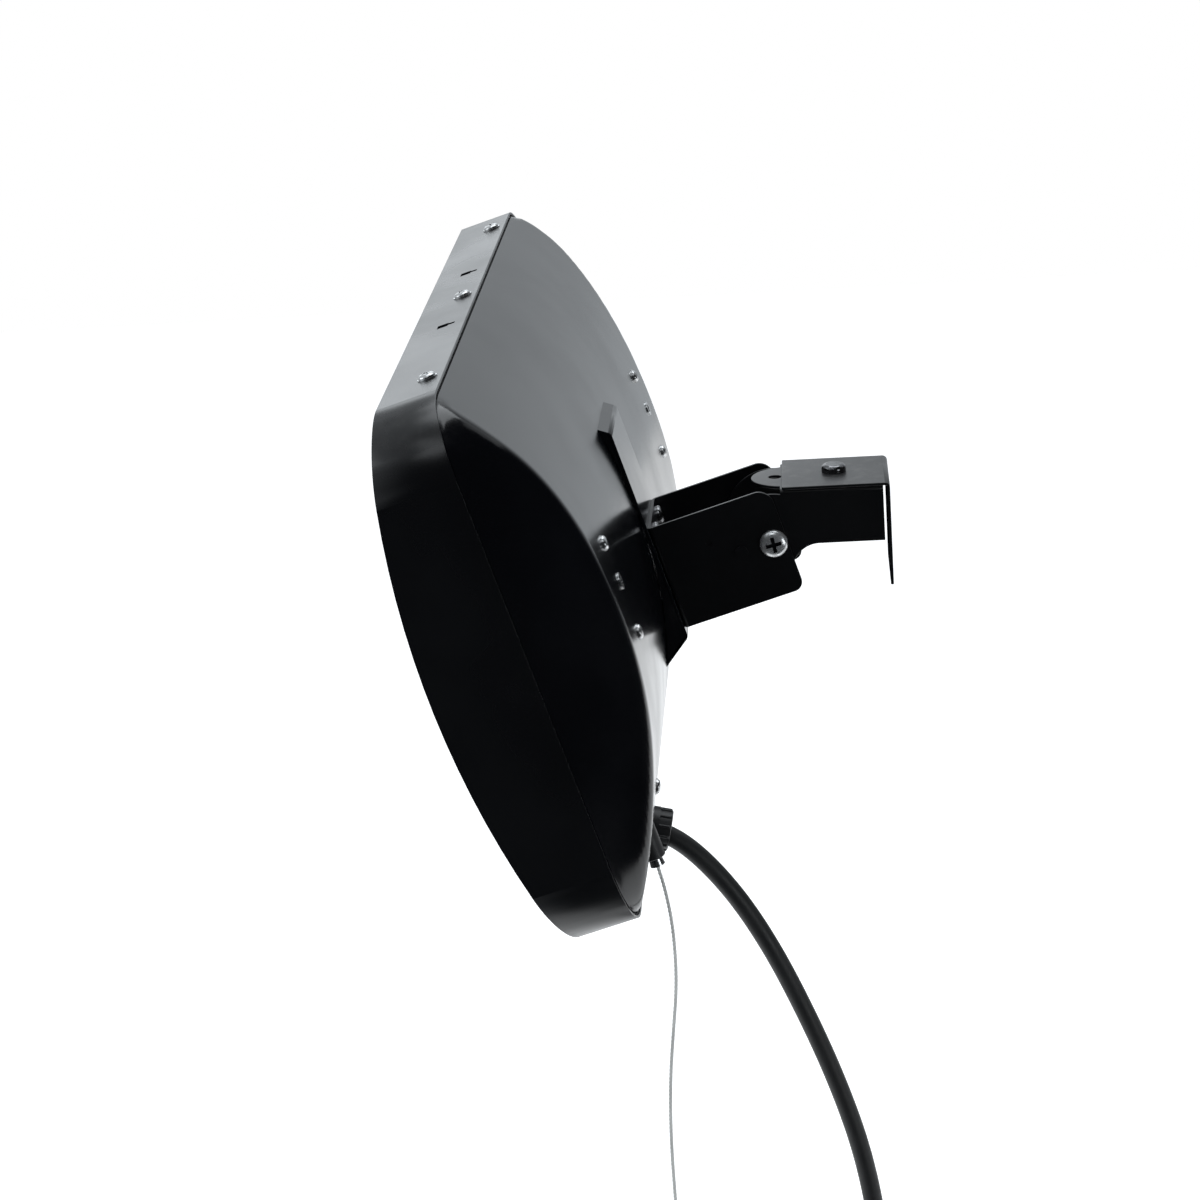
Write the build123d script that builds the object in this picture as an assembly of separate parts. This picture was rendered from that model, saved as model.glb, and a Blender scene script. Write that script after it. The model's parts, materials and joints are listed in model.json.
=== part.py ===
from build123d import *
import math
import os

# Wall-mounted electric patio heater, millimetres. The wall is the plane Y = 0, the heater
# faces -Y, +Z is up, and the origin is the centre of the wall plate's back face.

# Wall bracket
BRACKET_SHEET = 1.5
BRACKET_BEND = 2.5
FLANGE_WIDTH = 52.0
FLANGE_LENGTH = 53.5
PLATE_HEIGHT = 53.0
WALL_HOLE_RADIUS = 2.75
WALL_HOLE_SPACING_X = 32.0
WALL_HOLE_SPACING_Z = 27.0
WALL_HOLE_DROP = 3.5

# Swivel channel, which turns under the flange and carries the head
CHANNEL_WIDTH = 50.0
CHANNEL_SHEET = 1.5
CHANNEL_BEND = 2.0
CHANNEL_HEIGHT = 28.5
CHANNEL_PAST_FLANGE = 1.0
CHANNEL_WALL_GAP = 1.9
CHANNEL_FILLET = 14.0
LOBE_RADIUS = 24.5
LOBE_BACK = 8.8
NOSE_RADIUS = 18.5
NOSE_CENTRE_Y = -50.5
SPARE_HOLE_Y = -57.0
SPARE_HOLE_RADIUS = 3.25
PAN_AXIS_Y = -27.4

# Tilt axis and the head's attitude in the photograph's rest position
TILT_AXIS_Y = -58.8
TILT_AXIS_Z = -1.5
TILT_DEG = 16.6
AXIS_TO_SEAM = 98.3
AXIS_BELOW_CENTRE = 33.5

# M6 and M5 fasteners
BOLT_RADIUS = 3.0
BOLT_RUNNING_GAP = 0.08
BOLT_END = 1.5
RECESS_TURN = 22.0
# shares of the head's radius or height
RECESS_SPAN = 0.5
RECESS_ARM = 0.2
RECESS_DEPTH = 0.4
PAN_ROUND = 0.6
PAN_HEAD_RADIUS = 6.2
TILT_HEAD_RADIUS = 7.0
TILT_HEAD_HEIGHT = 3.6
PAN_HEAD_HEIGHT = 4.0
NUT_WIDTH = 10.0
NUT_HEIGHT = 5.0
WASHER_RADIUS = 6.25
WASHER_THICKNESS = 1.2
BRACKET_SCREW_RADIUS = 2.5
BRACKET_SCREW_HEAD_RADIUS = 4.75
BRACKET_SCREW_HEAD_HEIGHT = 3.2
BRACKET_SCREW_LENGTH = 12.0
BRACKET_NUT_WIDTH = 8.0
BRACKET_NUT_HEIGHT = 4.0
BRACKET_NUT_GAP = 0.6

# U-shaped head bracket
U_SHEET = 1.5
U_WIDTH = 56.0
U_HEIGHT = 54.8
U_TOP_ABOVE_AXIS = 27.7
U_PAST_AXIS = 6.9
U_BEND = 2.5
U_CORNER_TOP = 8.0
U_CORNER_LOW = 5.0
CUT_PAST = 1.0
BOSS_RADIUS = 3.2
BOSS_HEIGHT = 0.9
BOSS_ROOT = 0.5
BOSS_FORWARD = 16.6
BOSS_RISE = 1.0
DIMPLE_RADIUS = 1.6
DIMPLE_DEPTH = 0.6
DIMPLE_FORWARD = 30.3
DIMPLE_RISE = 10.8
U_SCREW_SPACING_X = 30.0
U_SCREW_SPACING_Z = 43.0

# Strap that bridges the crown of the back shell and carries the U
STRAP_SHEET = 1.5
STRAP_WIDTH = 56.0
STRAP_TOP = 46.1
STRAP_BOTTOM = -65.3
STRAP_LEG_SLOPE = 0.72
STRAP_BEND = 2.5
CROWN_TO_STRAP = 0.6

# Head, measured from the centre of the seam between band and shell
HEAD_WIDTH = 474.0
HEAD_HEIGHT = 262.0
HEAD_CORNER = 35.0
BAND_SHEET = 1.2
BAND_DEPTH = 28.5
FRONT_BOW = 19.5
LIP_WIDTH = 10.0
BAND_SCREW_SPACING = 171.0
BAND_SCREW_FROM_SEAM = 7.5
BAND_SLOT_SPACING = 121.0
BAND_SLOT_LENGTH = 7.0
BAND_SLOT_WIDTH = 3.4
BAND_SLOT_FROM_SEAM = 9.2

# Back shell
SHELL_SHEET = 1.0
DRILL_DEPTH = 6.0
DEPTH_HALVINGS = 40
SLOPE_STEP = 0.5
SHELL_GAP = 1.5
SKIRT_DEPTH = 14.0
CROWN_DEPTH = 39.4
END_TAPER_AT = 45.0
END_TAPER = 70.3
END_CORNER_GROWTH = 54.0
# share of the half height, share of the crown depth
CROWN_STATIONS = ((0.77, 0.53), (0.50, 0.84), (0.08, 1.0), (-0.30, 0.92), (-0.66, 0.58))
SHELL_SCREW_X = HEAD_WIDTH / 2 - 77.0
LOW_SCREW_RISE = 41.0
SHELL_SCREW_HEIGHTS = (29.6, -15.8, LOW_SCREW_RISE - HEAD_HEIGHT / 2)
SHELL_SCREW_LENGTHS = (10.0, 10.0, 6.0)
SPACED_HEIGHTS = SHELL_SCREW_HEIGHTS[:2]
SHELL_NUT_WIDTH = 7.0
SHELL_NUT_HEIGHT = 3.2
RIVET_HEIGHT = 10.0
RIVET_HEAD_RADIUS = 4.0
RIVET_HEAD = 0.6
RIVET_RADIUS = 3.0
RIVET_BORE = 2.25
RIVET_LENGTH = 9.0
SCREW_RADIUS = 2.0
HOLE_GAP = 0.05
SEAT_LIFT = 0.05
SCREW_HEAD_RADIUS = 4.0
SCREW_HEAD_HEIGHT = 2.4
SCREW_WASHER_RADIUS = 4.6
SCREW_WASHER_THICKNESS = 0.8

# Reflector, lamps and guard
LAMP_NAMES = ("lamp_bottom", "lamp_middle", "lamp_top")
LAMP_END_ROOM = 37.0
LAMP_LENGTH = HEAD_WIDTH - 2 * LAMP_END_ROOM
LAMP_RADIUS = 5.5
LAMP_WALL = 1.0
LAMP_FORWARD = 15.5
LAMP_HOLE_GAP = 1.0
REFLECTOR_SHEET = 0.8
REFLECTOR_FRONT = 25.0
REFLECTOR_RIM = 23.0
RIM_CLEARANCE = 0.3
TROUGH_PITCH = (HEAD_HEIGHT - 46.0) / 3
TROUGH_HALF_WIDTH = TROUGH_PITCH / 2 - 5.0
TROUGH_DEPTH = 18.0
TROUGH_LENGTH = LAMP_LENGTH - 28.0
HEATER_COIL_RADIUS = 2.0
HEATER_COIL_LENGTH = LAMP_LENGTH - 60.0
HEATER_LEAD_RADIUS = 0.7
CAP_RADIUS = 7.5
CAP_LENGTH = 26.0
CAP_OVERLAP = 9.0
CAP_ROUND = 1.5
HOLDER_SHEET = 1.2
HOLDER_X = LAMP_LENGTH / 2 + 5.0
HOLDER_HEIGHT = 2 * TROUGH_PITCH + 46.0
HOLDER_DEPTH = 29.0
HOLDER_FOOT = 8.0
GUARD_WIRE_RADIUS = 1.1
GUARD_RIM_RADIUS = 1.6
GUARD_ROD_RADIUS = 1.4
GUARD_ROD_SETBACK = 2.0
GUARD_SIDE_GAP = 7.0
GUARD_TOP_GAP = 6.5
GUARD_HALF_WIDTH = HEAD_WIDTH / 2 - GUARD_SIDE_GAP
GUARD_HALF_HEIGHT = HEAD_HEIGHT / 2 - GUARD_TOP_GAP
GUARD_CORNER = 29.0
GUARD_COUNT = 31
GUARD_END_WIRE_X = GUARD_HALF_WIDTH - 14.75
GUARD_BEHIND_FRONT = 3.0

# Cable gland and pull switch, on the lower slope of the shell
GLAND_X = HEAD_WIDTH / 2 - 89.0
GLAND_HEIGHT = 18.2 - HEAD_HEIGHT / 2
PULL_X = GLAND_X + 22.0
SWITCH_TOP = 54.0 - HEAD_HEIGHT / 2

# Heat shield, terminals and wiring inside the back shell
SHIELD_SHEET = 0.8
SHIELD_Y = 1.0
SHIELD_WIDTH = 2 * SHELL_SCREW_X + 20.0
SHIELD_TOP = HEAD_HEIGHT / 2 - 31.0
SHIELD_BOTTOM = SWITCH_TOP + 3.0
SPACER_RADIUS = 4.5
TERMINAL_X = GLAND_X - 37.0
TERMINAL_HEIGHT = SWITCH_TOP + 37.0
TERMINAL_SIZE = (38.0, 18.0, 20.0)
POLE_PITCH = 11.0
POLE_RADIUS = 3.2
POLE_DEPTH = 4.0
TERMINAL_EDGE = 1.3
TERMINAL_SCREW_RADIUS = 2.9
TERMINAL_SCREW_HEIGHT = 2.0
TERMINAL_SLOT_DEPTH = 0.8
TERMINAL_SLOT_WIDTH = 0.8
WIRE_RADIUS = 1.2
WIRE_BEND = 3.0
CORE_OFFSETS = (-2.7, 0, 2.7)
# from the cord's end inside the shell, then from a pole's lower face
CORE_START = ((0, 0, 0), (0, -3.6, 1.8), (-8, -3, 11))
CORE_FINISH = ((18, 5.5, -34.5), (5, 10, -15), (0, 10, -5), (0, 10, 0))
BUS_X = LAMP_LENGTH / 2 + 22.0
BUS_RADIUS = 1.6
# from the switch's top, then from the middle of the terminal block
SWITCH_WIRE_START = ((-7, 4, 0), (-7, 4, 5), (-7, 9, 14))
SWITCH_WIRE_FINISH = ((39, 12, -18), (27, 12, -2), (19, 12, -2))
# from the switch's top, then from the lamps' bar on that side
LIVE_WIRE_START = ((7, 4, 0), (7, 4, 5), (11, 9, 10))
LIVE_WIRE_FINISH = ((-18, 9, 13), (-8, 5, 17), (0, -5, 17), (0, -LAMP_FORWARD, 17))
# from the lamps' bar on the far side, then from the middle of the terminal block
RETURN_WIRE_START = ((0, -LAMP_FORWARD, 4), (0, -5, 4), (12, 8, 0), (42, 9, 4))
RETURN_WIRE_FINISH = ((-33, 10, 44), (-27, 12, 0), (-19, 12, 0))

# Cable gland
GLAND_HOLE_RADIUS = 8.1
GLAND_THREAD_RADIUS = 8.0
GLAND_FLANGE_RADIUS = 10.4
GLAND_FLANGE_THICKNESS = 3.0
GLAND_CAP_RADIUS = 9.6
GLAND_CAP_LENGTH = 6.2
GLAND_CAP_ROUND = 2.0
GLAND_RIBS = 12
GLAND_RIB_RADIUS = 0.7
GLAND_INSIDE = 9.0
GLAND_MOUTH = 7.2
LOCKNUT_WIDTH = 21.0
LOCKNUT_THICKNESS = 4.0

# Power cord, from where the gland's axis leaves the shell, then the tied coil of its spare length
CORD_RADIUS = 4.65
CORD_RUN_SHARE = 0.45
CORD_START = -18.0
CORD_ROUTE = (
    (0, 17.06, -9.7), (0, 36.86, -33.6), (0, 53.56, -63.4), (0, 68.56, -98.7), (0, 81.86, -135.1),
    (0, 92.86, -174.1), (2, 98.86, -215.1), (9, 100.36, -249.1), (18, 99.96, -279.1), (22, 99.71, -305.1),
)
COIL_CENTRE = (-37.3, 104.36, -305.1)
COIL_TURN_RADIUS = 50.0
COIL_TURNS_DEEP = 3
COIL_TURNS_WIDE = 2
COIL_ROUND = 4.0
COIL_SLACK = 0.5
TAIL_ROUTE = ((22, 109.01, -305.1), (22, 108.76, -328.1), (21, 105.86, -352.1), (20.5, 102.36, -377.1))
TIE_ARC = 14.0
TIE_THICKNESS = 1.2
TIE_ANGLES = (95, 275)
PLUG_RADIUS = 18.0
PLUG_LENGTH = 32.0
PLUG_NECK_RADIUS = 7.0
PLUG_NECK_END_RADIUS = 10.5
PLUG_NECK_LENGTH = 26.0
PLUG_CORD_DEPTH = 10.0
PLUG_PIN_RADIUS = 2.4
PLUG_PIN_LENGTH = 19.0
PLUG_PIN_SPACING = 19.0
PLUG_ROUND = 7.2
PIN_ROUND = 1.0

# Pull switch, its outlet and its cord, whose route starts at the collar's end
PULL_Y = 9.5
SWITCH_BOTTOM = SWITCH_TOP - 20.0
SWITCH_EDGE = 1.0
SWITCH_WIDTH = 30.0
SWITCH_BACK = 13.5
SWITCH_FRONT = -5.0
SWITCH_CAVITY_RADIUS = 3.0
SWITCH_CAVITY_TOP = SWITCH_TOP - 2.5
COLLAR_RADIUS = 5.4
COLLAR_BOTTOM = SWITCH_TOP - 42.5
COLLAR_ROUND = 0.9
BELL_RADIUS = 3.6
BELL_TOP_RADIUS = 3.1
BELL_LENGTH = 4.0
PULL_BORE = 1.6
PLUNGER_RADIUS = 2.7
PLUNGER_TOP = SWITCH_TOP - 4.0
PLUNGER_HEIGHT = 6.0
PLUNGER_ROD_RADIUS = 1.1
PULL_CORD_RADIUS = 0.9
PULL_START = COLLAR_BOTTOM + 12.5
PULL_STRAIGHT_END = COLLAR_BOTTOM - 7.5
PULL_ROUTE = (
    (0, 5.93, -29.72), (0, 6.73, -50.72), (0, 6.03, -68.72), (0, 3.33, -89.72), (0, 0.43, -114.72),
    (0, -1.07, -144.72), (0, -0.87, -178.72), (0, -0.27, -212.72), (0, -0.57, -244.72), (0, -1.07, -275.72),
)
KNOB_RADIUS = 7.0
KNOB_LENGTH = 26.0
KNOB_BELLY = 18.2
KNOB_NECK_RADIUS = 2.6


def yz_prism(face, half_length):
    """A profile drawn in the YZ plane, extruded evenly both ways along X."""
    return Pos(-half_length, 0, 0) * extrude(Plane.YZ * face, 2 * half_length)


def front_prism(face, back_y, depth):
    """An outline drawn facing the front, from back_y towards the front."""
    return Pos(0, back_y, 0) * extrude(Plane.XZ * face, depth)


def shell_form(inset):
    """The back shell's outer form, or its inner one at an inset of the sheet thickness."""
    half_h = HEAD_HEIGHT / 2 - BAND_SHEET - SHELL_GAP - inset
    half_w = HEAD_WIDTH / 2 - BAND_SHEET - SHELL_GAP - inset
    corner = HEAD_CORNER - BAND_SHEET - SHELL_GAP - inset
    crown = CROWN_DEPTH - inset
    stations = [(crown * d, half_h * h) for h, d in CROWN_STATIONS]
    back = Spline((0, half_h), *stations, (0, -half_h))
    front = Polyline((0, -half_h), (-SKIRT_DEPTH, -half_h), (-SKIRT_DEPTH, half_h), (0, half_h))
    profile = make_face([back, front])
    crown_body = yz_prism(profile, half_w)
    base = RectangleRounded(2 * half_w, 2 * half_h, corner)
    skirt = front_prism(base, 0, SKIRT_DEPTH)
    far = RectangleRounded(2 * (half_w - END_TAPER), 2 * half_h, corner + END_CORNER_GROWTH)
    taper = loft([Plane.XZ * base, Pos(0, END_TAPER_AT, 0) * (Plane.XZ * far)])
    return crown_body & (skirt + taper)


def shell_depth(height):
    """How far behind the seam the back shell's outer face lies at a height on the head."""
    half_h = HEAD_HEIGHT / 2 - BAND_SHEET - SHELL_GAP
    stations = [(CROWN_DEPTH * d, half_h * h) for h, d in CROWN_STATIONS]
    back = Spline((0, half_h), *stations, (0, -half_h))
    low, high = 0.0, 1.0
    for _ in range(DEPTH_HALVINGS):
        middle = (low + high) / 2
        if (back @ middle).Y > height:
            low = middle
        else:
            high = middle
    return (back @ low).X


def head_place():
    """The tilted place of the head's own frame, which is level and centred on the seam."""
    seam = Pos(0, -AXIS_TO_SEAM, AXIS_BELOW_CENTRE)
    return Pos(0, TILT_AXIS_Y, TILT_AXIS_Z) * Rot(TILT_DEG, 0, 0) * seam


def x_cylinder(radius, start, end):
    """A cylinder about the X axis between two X positions."""
    return Pos((start + end) / 2, 0, 0) * Rot(0, 90, 0) * Cylinder(radius, abs(end - start))


def y_cylinder(radius, start, end):
    """A cylinder about the Y axis between two Y positions."""
    return Pos(0, (start + end) / 2, 0) * Rot(90, 0, 0) * Cylinder(radius, abs(end - start))


def z_cylinder(radius, start, end):
    """A cylinder about the Z axis between two heights."""
    return Pos(0, 0, (start + end) / 2) * Cylinder(radius, abs(end - start))


def block(x0, x1, y0, y1, z0, z1):
    """A box between two corners."""
    return Pos((x0 + x1) / 2, (y0 + y1) / 2, (z0 + z1) / 2) * Box(x1 - x0, y1 - y0, z1 - z0)


def pan_head(radius, height):
    """A pan head that stands on Z = 0, its top edge well rounded."""
    head = z_cylinder(radius, 0, height)
    return fillet(head.edges().group_by(Axis.Z)[-1], height * PAN_ROUND)


def cross_recess(radius, depth, top):
    """The cross-shaped driver recess of a pan head, as a cutter."""
    arm = Box(2 * radius * RECESS_SPAN, radius * RECESS_ARM, 2 * depth)
    return Pos(0, 0, top) * (arm + Rot(0, 0, 90) * arm)


def pan_screw(head_radius, head_height, shank_radius, shank_length):
    """A cross-recess pan screw along -Z, with its head's seat on Z = 0."""
    recess = cross_recess(head_radius, head_height * RECESS_DEPTH, head_height)
    head = pan_head(head_radius, head_height) - recess
    return head + z_cylinder(shank_radius, -shank_length, 0)


def hex_nut(width, height, bore):
    """A hexagon nut that stands on Z = 0."""
    outline = RegularPolygon(width / 2, 6, major_radius=False)
    return extrude(outline - Circle(bore), height)


def washer(radius, bore, thickness):
    """A flat washer that stands on Z = 0."""
    return extrude(Circle(radius) - Circle(bore), thickness)


def bow_y(height, behind):
    """Where the head's bowed front line lies at a height, moved back from the band's front edge."""
    half = HEAD_HEIGHT / 2
    bow_radius = (half ** 2 + FRONT_BOW ** 2) / (2 * FRONT_BOW)
    return behind - BAND_DEPTH - FRONT_BOW + bow_radius - math.sqrt(bow_radius ** 2 - height ** 2)


def bowed_line(half_height, behind):
    """The bowed front line as an arc between two heights, level across the head."""
    ends = [(bow_y(half_height, behind), height) for height in (-half_height, half_height)]
    return ThreePointArc(ends[0], (bow_y(0, behind), 0), ends[1])


def behind_front(behind, back_y):
    """The space between the bowed front line and a flat back, as a prism past the head's edges."""
    half = (HEAD_HEIGHT + HEAD_CORNER) / 2
    edge = bow_y(half, behind)
    rest = Polyline((edge, -half), (back_y, -half), (back_y, half), (edge, half))
    return yz_prism(make_face([bowed_line(half, behind), rest]), HEAD_WIDTH)


def head_outline(inset):
    """The head's rounded front outline, at an inset from the band's outer face."""
    return RectangleRounded(HEAD_WIDTH - 2 * inset, HEAD_HEIGHT - 2 * inset, HEAD_CORNER - inset)


# Wall bracket and swivel channel

def wall_bracket():
    """An L of sheet: the plate on the wall and the flange over the channel."""
    top = PLATE_HEIGHT / 2
    plate = block(-FLANGE_WIDTH / 2, FLANGE_WIDTH / 2, -BRACKET_SHEET, 0, -top, top)
    flange = block(-FLANGE_WIDTH / 2, FLANGE_WIDTH / 2, -FLANGE_LENGTH, 0, top - BRACKET_SHEET, top)
    bracket = plate + flange
    bend = bracket.edges().filter_by(Axis.X).sort_by(lambda e: e.center().Y + e.center().Z)[-1]
    bracket = fillet(bend, BRACKET_BEND)
    hole = y_cylinder(WALL_HOLE_RADIUS, -2 * BRACKET_SHEET, BRACKET_SHEET)
    for x in (-WALL_HOLE_SPACING_X / 2, WALL_HOLE_SPACING_X / 2):
        for z in (-WALL_HOLE_SPACING_Z / 2, WALL_HOLE_SPACING_Z / 2):
            bracket -= Pos(x, 0, z - WALL_HOLE_DROP) * hole
    pan = Pos(0, PAN_AXIS_Y, 0) * z_cylinder(BOLT_RADIUS + BOLT_RUNNING_GAP, 0, PLATE_HEIGHT)
    return bracket - pan


def swivel_channel():
    """The channel: a top plate with a round nose, and cheeks that end in round lobes."""
    top = PLATE_HEIGHT / 2 - BRACKET_SHEET
    bottom = top - CHANNEL_HEIGHT
    rear = -BRACKET_SHEET - CHANNEL_WALL_GAP
    front = -FLANGE_LENGTH - CHANNEL_PAST_FLANGE
    half = CHANNEL_WIDTH / 2
    cheek = Pos((rear + front) / 2, (top + bottom) / 2) * Rectangle(rear - front, top - bottom)
    lobe = Pos(TILT_AXIS_Y, TILT_AXIS_Z) * Circle(LOBE_RADIUS)
    behind = Rectangle(2 * LOBE_RADIUS, 2 * LOBE_RADIUS)
    lobe -= Pos(TILT_AXIS_Y + LOBE_BACK + LOBE_RADIUS, TILT_AXIS_Z) * behind
    side = cheek + lobe
    notch = side.vertices().sort_by_distance((TILT_AXIS_Y + LOBE_BACK, bottom))[0]
    side = fillet(notch, CHANNEL_FILLET)
    body = yz_prism(side, half) - yz_prism(side, half - CHANNEL_SHEET)
    body += block(-half, half, front, rear, top - CHANNEL_SHEET, top)
    top_edges = body.edges().filter_by(Axis.Y).group_by(Axis.Z)[-1]
    bends = top_edges.filter_by(lambda e: abs(e.center().X) > half - CHANNEL_SHEET / 2)
    body = fillet(bends, CHANNEL_BEND)
    nose = Pos(0, NOSE_CENTRE_Y) * Circle(NOSE_RADIUS)
    body += Pos(0, 0, top - CHANNEL_SHEET) * extrude(nose, CHANNEL_SHEET)
    over = top + CHANNEL_SHEET
    body -= Pos(0, PAN_AXIS_Y, 0) * z_cylinder(BOLT_RADIUS + BOLT_RUNNING_GAP, bottom, over)
    body -= Pos(0, SPARE_HOLE_Y, 0) * z_cylinder(SPARE_HOLE_RADIUS, bottom, over)
    return body - Pos(0, TILT_AXIS_Y, TILT_AXIS_Z) * x_cylinder(BOLT_RADIUS + HOLE_GAP, -2 * half, 2 * half)


def pan_bolt_parts():
    """The upright bolt through flange and channel, with its washer and nut."""
    top = PLATE_HEIGHT / 2
    under = top - BRACKET_SHEET - CHANNEL_SHEET
    shank = BRACKET_SHEET + CHANNEL_SHEET + WASHER_THICKNESS + NUT_HEIGHT + BOLT_END
    head = pan_head(PAN_HEAD_RADIUS, PAN_HEAD_HEIGHT)
    bolt = Pos(0, PAN_AXIS_Y, top) * (head + z_cylinder(BOLT_RADIUS, -shank, 0))
    ring = washer(WASHER_RADIUS, BOLT_RADIUS + HOLE_GAP, WASHER_THICKNESS)
    ring = Pos(0, PAN_AXIS_Y, under - WASHER_THICKNESS) * ring
    nut_bottom = under - WASHER_THICKNESS - NUT_HEIGHT
    nut = Pos(0, PAN_AXIS_Y, nut_bottom) * hex_nut(NUT_WIDTH, NUT_HEIGHT, BOLT_RADIUS)
    return bolt, ring, nut


def tilt_screw_parts():
    """A short screw, a spacer washer and a nut at each side of the tilt axis."""
    screws, rings, nuts = [], [], []
    cheek_out = CHANNEL_WIDTH / 2
    cheek_in = cheek_out - CHANNEL_SHEET
    arm_in = U_WIDTH / 2 - U_SHEET
    arm_out = U_WIDTH / 2
    shank = arm_out - cheek_in + NUT_HEIGHT + BOLT_END
    for turn in (90, -90):
        at = Pos(0, TILT_AXIS_Y, TILT_AXIS_Z) * Rot(0, turn, 0)
        screw = pan_screw(TILT_HEAD_RADIUS, TILT_HEAD_HEIGHT, BOLT_RADIUS, shank)
        spacer = washer(TILT_HEAD_RADIUS, BOLT_RADIUS + HOLE_GAP, arm_in - cheek_out)
        nut = hex_nut(NUT_WIDTH, NUT_HEIGHT, BOLT_RADIUS)
        screws.append(at * (Pos(0, 0, arm_out) * Rot(0, 0, RECESS_TURN) * screw))
        rings.append(at * (Pos(0, 0, cheek_out) * spacer))
        nuts.append(at * (Pos(0, 0, cheek_in - NUT_HEIGHT) * nut))
    return screws, rings, nuts


# Head bracket and strap, in the head's own frame

def web_back():
    """How far behind the seam the strap's outer face lies, where the web is screwed on."""
    return CROWN_DEPTH + CROWN_TO_STRAP + STRAP_SHEET


def head_bracket():
    """The U that is screwed on the strap: a web and two arms with rounded ends."""
    back = web_back()
    far = AXIS_TO_SEAM + U_PAST_AXIS
    top = -AXIS_BELOW_CENTRE + U_TOP_ABOVE_AXIS
    face = Pos((back + far) / 2, top - U_HEIGHT / 2) * Rectangle(far - back, U_HEIGHT)
    face = fillet(face.vertices().sort_by_distance((far, top))[0], U_CORNER_TOP)
    face = fillet(face.vertices().sort_by_distance((far, top - U_HEIGHT))[0], U_CORNER_LOW)
    half = U_WIDTH / 2
    inner = half - U_SHEET
    body = yz_prism(face, half)
    folds = body.edges().filter_by(Axis.Z).group_by(Axis.Y)[0]
    body = fillet(folds, U_BEND)
    low = top - U_HEIGHT - CUT_PAST
    cavity = block(-inner, inner, back + U_SHEET, far + CUT_PAST, low, top + CUT_PAST)
    inside = cavity.edges().filter_by(Axis.Z).group_by(Axis.Y)[0]
    body -= fillet(inside, U_BEND - U_SHEET)
    axis_z = -AXIS_BELOW_CENTRE
    bore = x_cylinder(BOLT_RADIUS + BOLT_RUNNING_GAP, -half - CUT_PAST, half + CUT_PAST)
    body -= Pos(0, AXIS_TO_SEAM, axis_z) * bore
    for side in (-1, 1):
        x = side * half
        boss = x_cylinder(BOSS_RADIUS, x - side * BOSS_ROOT, x + side * BOSS_HEIGHT)
        body += Pos(0, AXIS_TO_SEAM - BOSS_FORWARD, axis_z + BOSS_RISE) * boss
        dimple = x_cylinder(DIMPLE_RADIUS, x - side * DIMPLE_DEPTH, x + side * CUT_PAST)
        body -= Pos(0, AXIS_TO_SEAM - DIMPLE_FORWARD, axis_z + DIMPLE_RISE) * dimple
    hole = y_cylinder(BRACKET_SCREW_RADIUS + HOLE_GAP, back - CUT_PAST, back + 2 * U_SHEET)
    for x, z in bracket_screw_places():
        body -= Pos(x, 0, z) * hole
    return body


def bracket_screw_places():
    """Where the four web screws sit, across and up the head."""
    middle = -AXIS_BELOW_CENTRE + U_TOP_ABOVE_AXIS - U_HEIGHT / 2
    half_x = U_SCREW_SPACING_X / 2
    half_z = U_SCREW_SPACING_Z / 2
    return [(x, middle + z) for x in (-half_x, half_x) for z in (-half_z, half_z)]


def bracket_fasteners():
    """Pan screws through web and strap, each in a nut on the strap's inner face."""
    seat = web_back() + U_SHEET
    inner = web_back() - STRAP_SHEET
    size = (BRACKET_SCREW_HEAD_RADIUS, BRACKET_SCREW_HEAD_HEIGHT, BRACKET_SCREW_RADIUS)
    screw = pan_screw(*size, BRACKET_SCREW_LENGTH)
    nut = hex_nut(BRACKET_NUT_WIDTH, BRACKET_NUT_HEIGHT, BRACKET_SCREW_RADIUS)
    places = bracket_screw_places()
    screws = [Pos(x, seat, z) * Rot(-90, 0, 0) * screw for x, z in places]
    nuts = [Pos(x, inner - BRACKET_NUT_HEIGHT, z) * Rot(-90, 0, 0) * nut for x, z in places]
    return screws, nuts


def mounting_strap(form):
    """The strap over the crown, its sloped legs trimmed to the shell."""
    middle = web_back() - STRAP_SHEET / 2
    leg = middle * STRAP_LEG_SLOPE
    ends = ((0, STRAP_TOP + leg), (0, STRAP_BOTTOM - leg))
    folds = ((middle, STRAP_TOP), (middle, STRAP_BOTTOM))
    path = FilletPolyline(ends[0], *folds, ends[1], radius=STRAP_BEND)
    strap = yz_prism(trace(path, STRAP_SHEET), STRAP_WIDTH / 2) - form
    strap &= block(-STRAP_WIDTH, STRAP_WIDTH, 0, 2 * middle, -HEAD_HEIGHT, HEAD_HEIGHT)
    hole = y_cylinder(BRACKET_SCREW_RADIUS + HOLE_GAP, middle - STRAP_SHEET, 2 * middle)
    for x, z in bracket_screw_places():
        strap -= Pos(x, 0, z) * hole
    return strap


# Head: band, shell, reflector, lamps and guard, in the head's own frame

def rim_openings():
    """What is cut through band, skirt and reflector rim: screw holes, and slots along the top."""
    half = HEAD_HEIGHT / 2 + BAND_SHEET
    hole = z_cylinder(SCREW_RADIUS + HOLE_GAP, -half, half)
    places = (-BAND_SCREW_SPACING, 0, BAND_SCREW_SPACING)
    cutters = [Pos(x, -BAND_SCREW_FROM_SEAM, 0) * hole for x in places]
    low = half - DRILL_DEPTH
    slot = block(-BAND_SLOT_WIDTH / 2, BAND_SLOT_WIDTH / 2, 0, BAND_SLOT_LENGTH, low, half)
    front = -BAND_SLOT_FROM_SEAM - BAND_SLOT_LENGTH / 2
    for x in (-BAND_SLOT_SPACING / 2, BAND_SLOT_SPACING / 2):
        cutters.append(Pos(x, front, 0) * slot)
    return cutters


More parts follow.
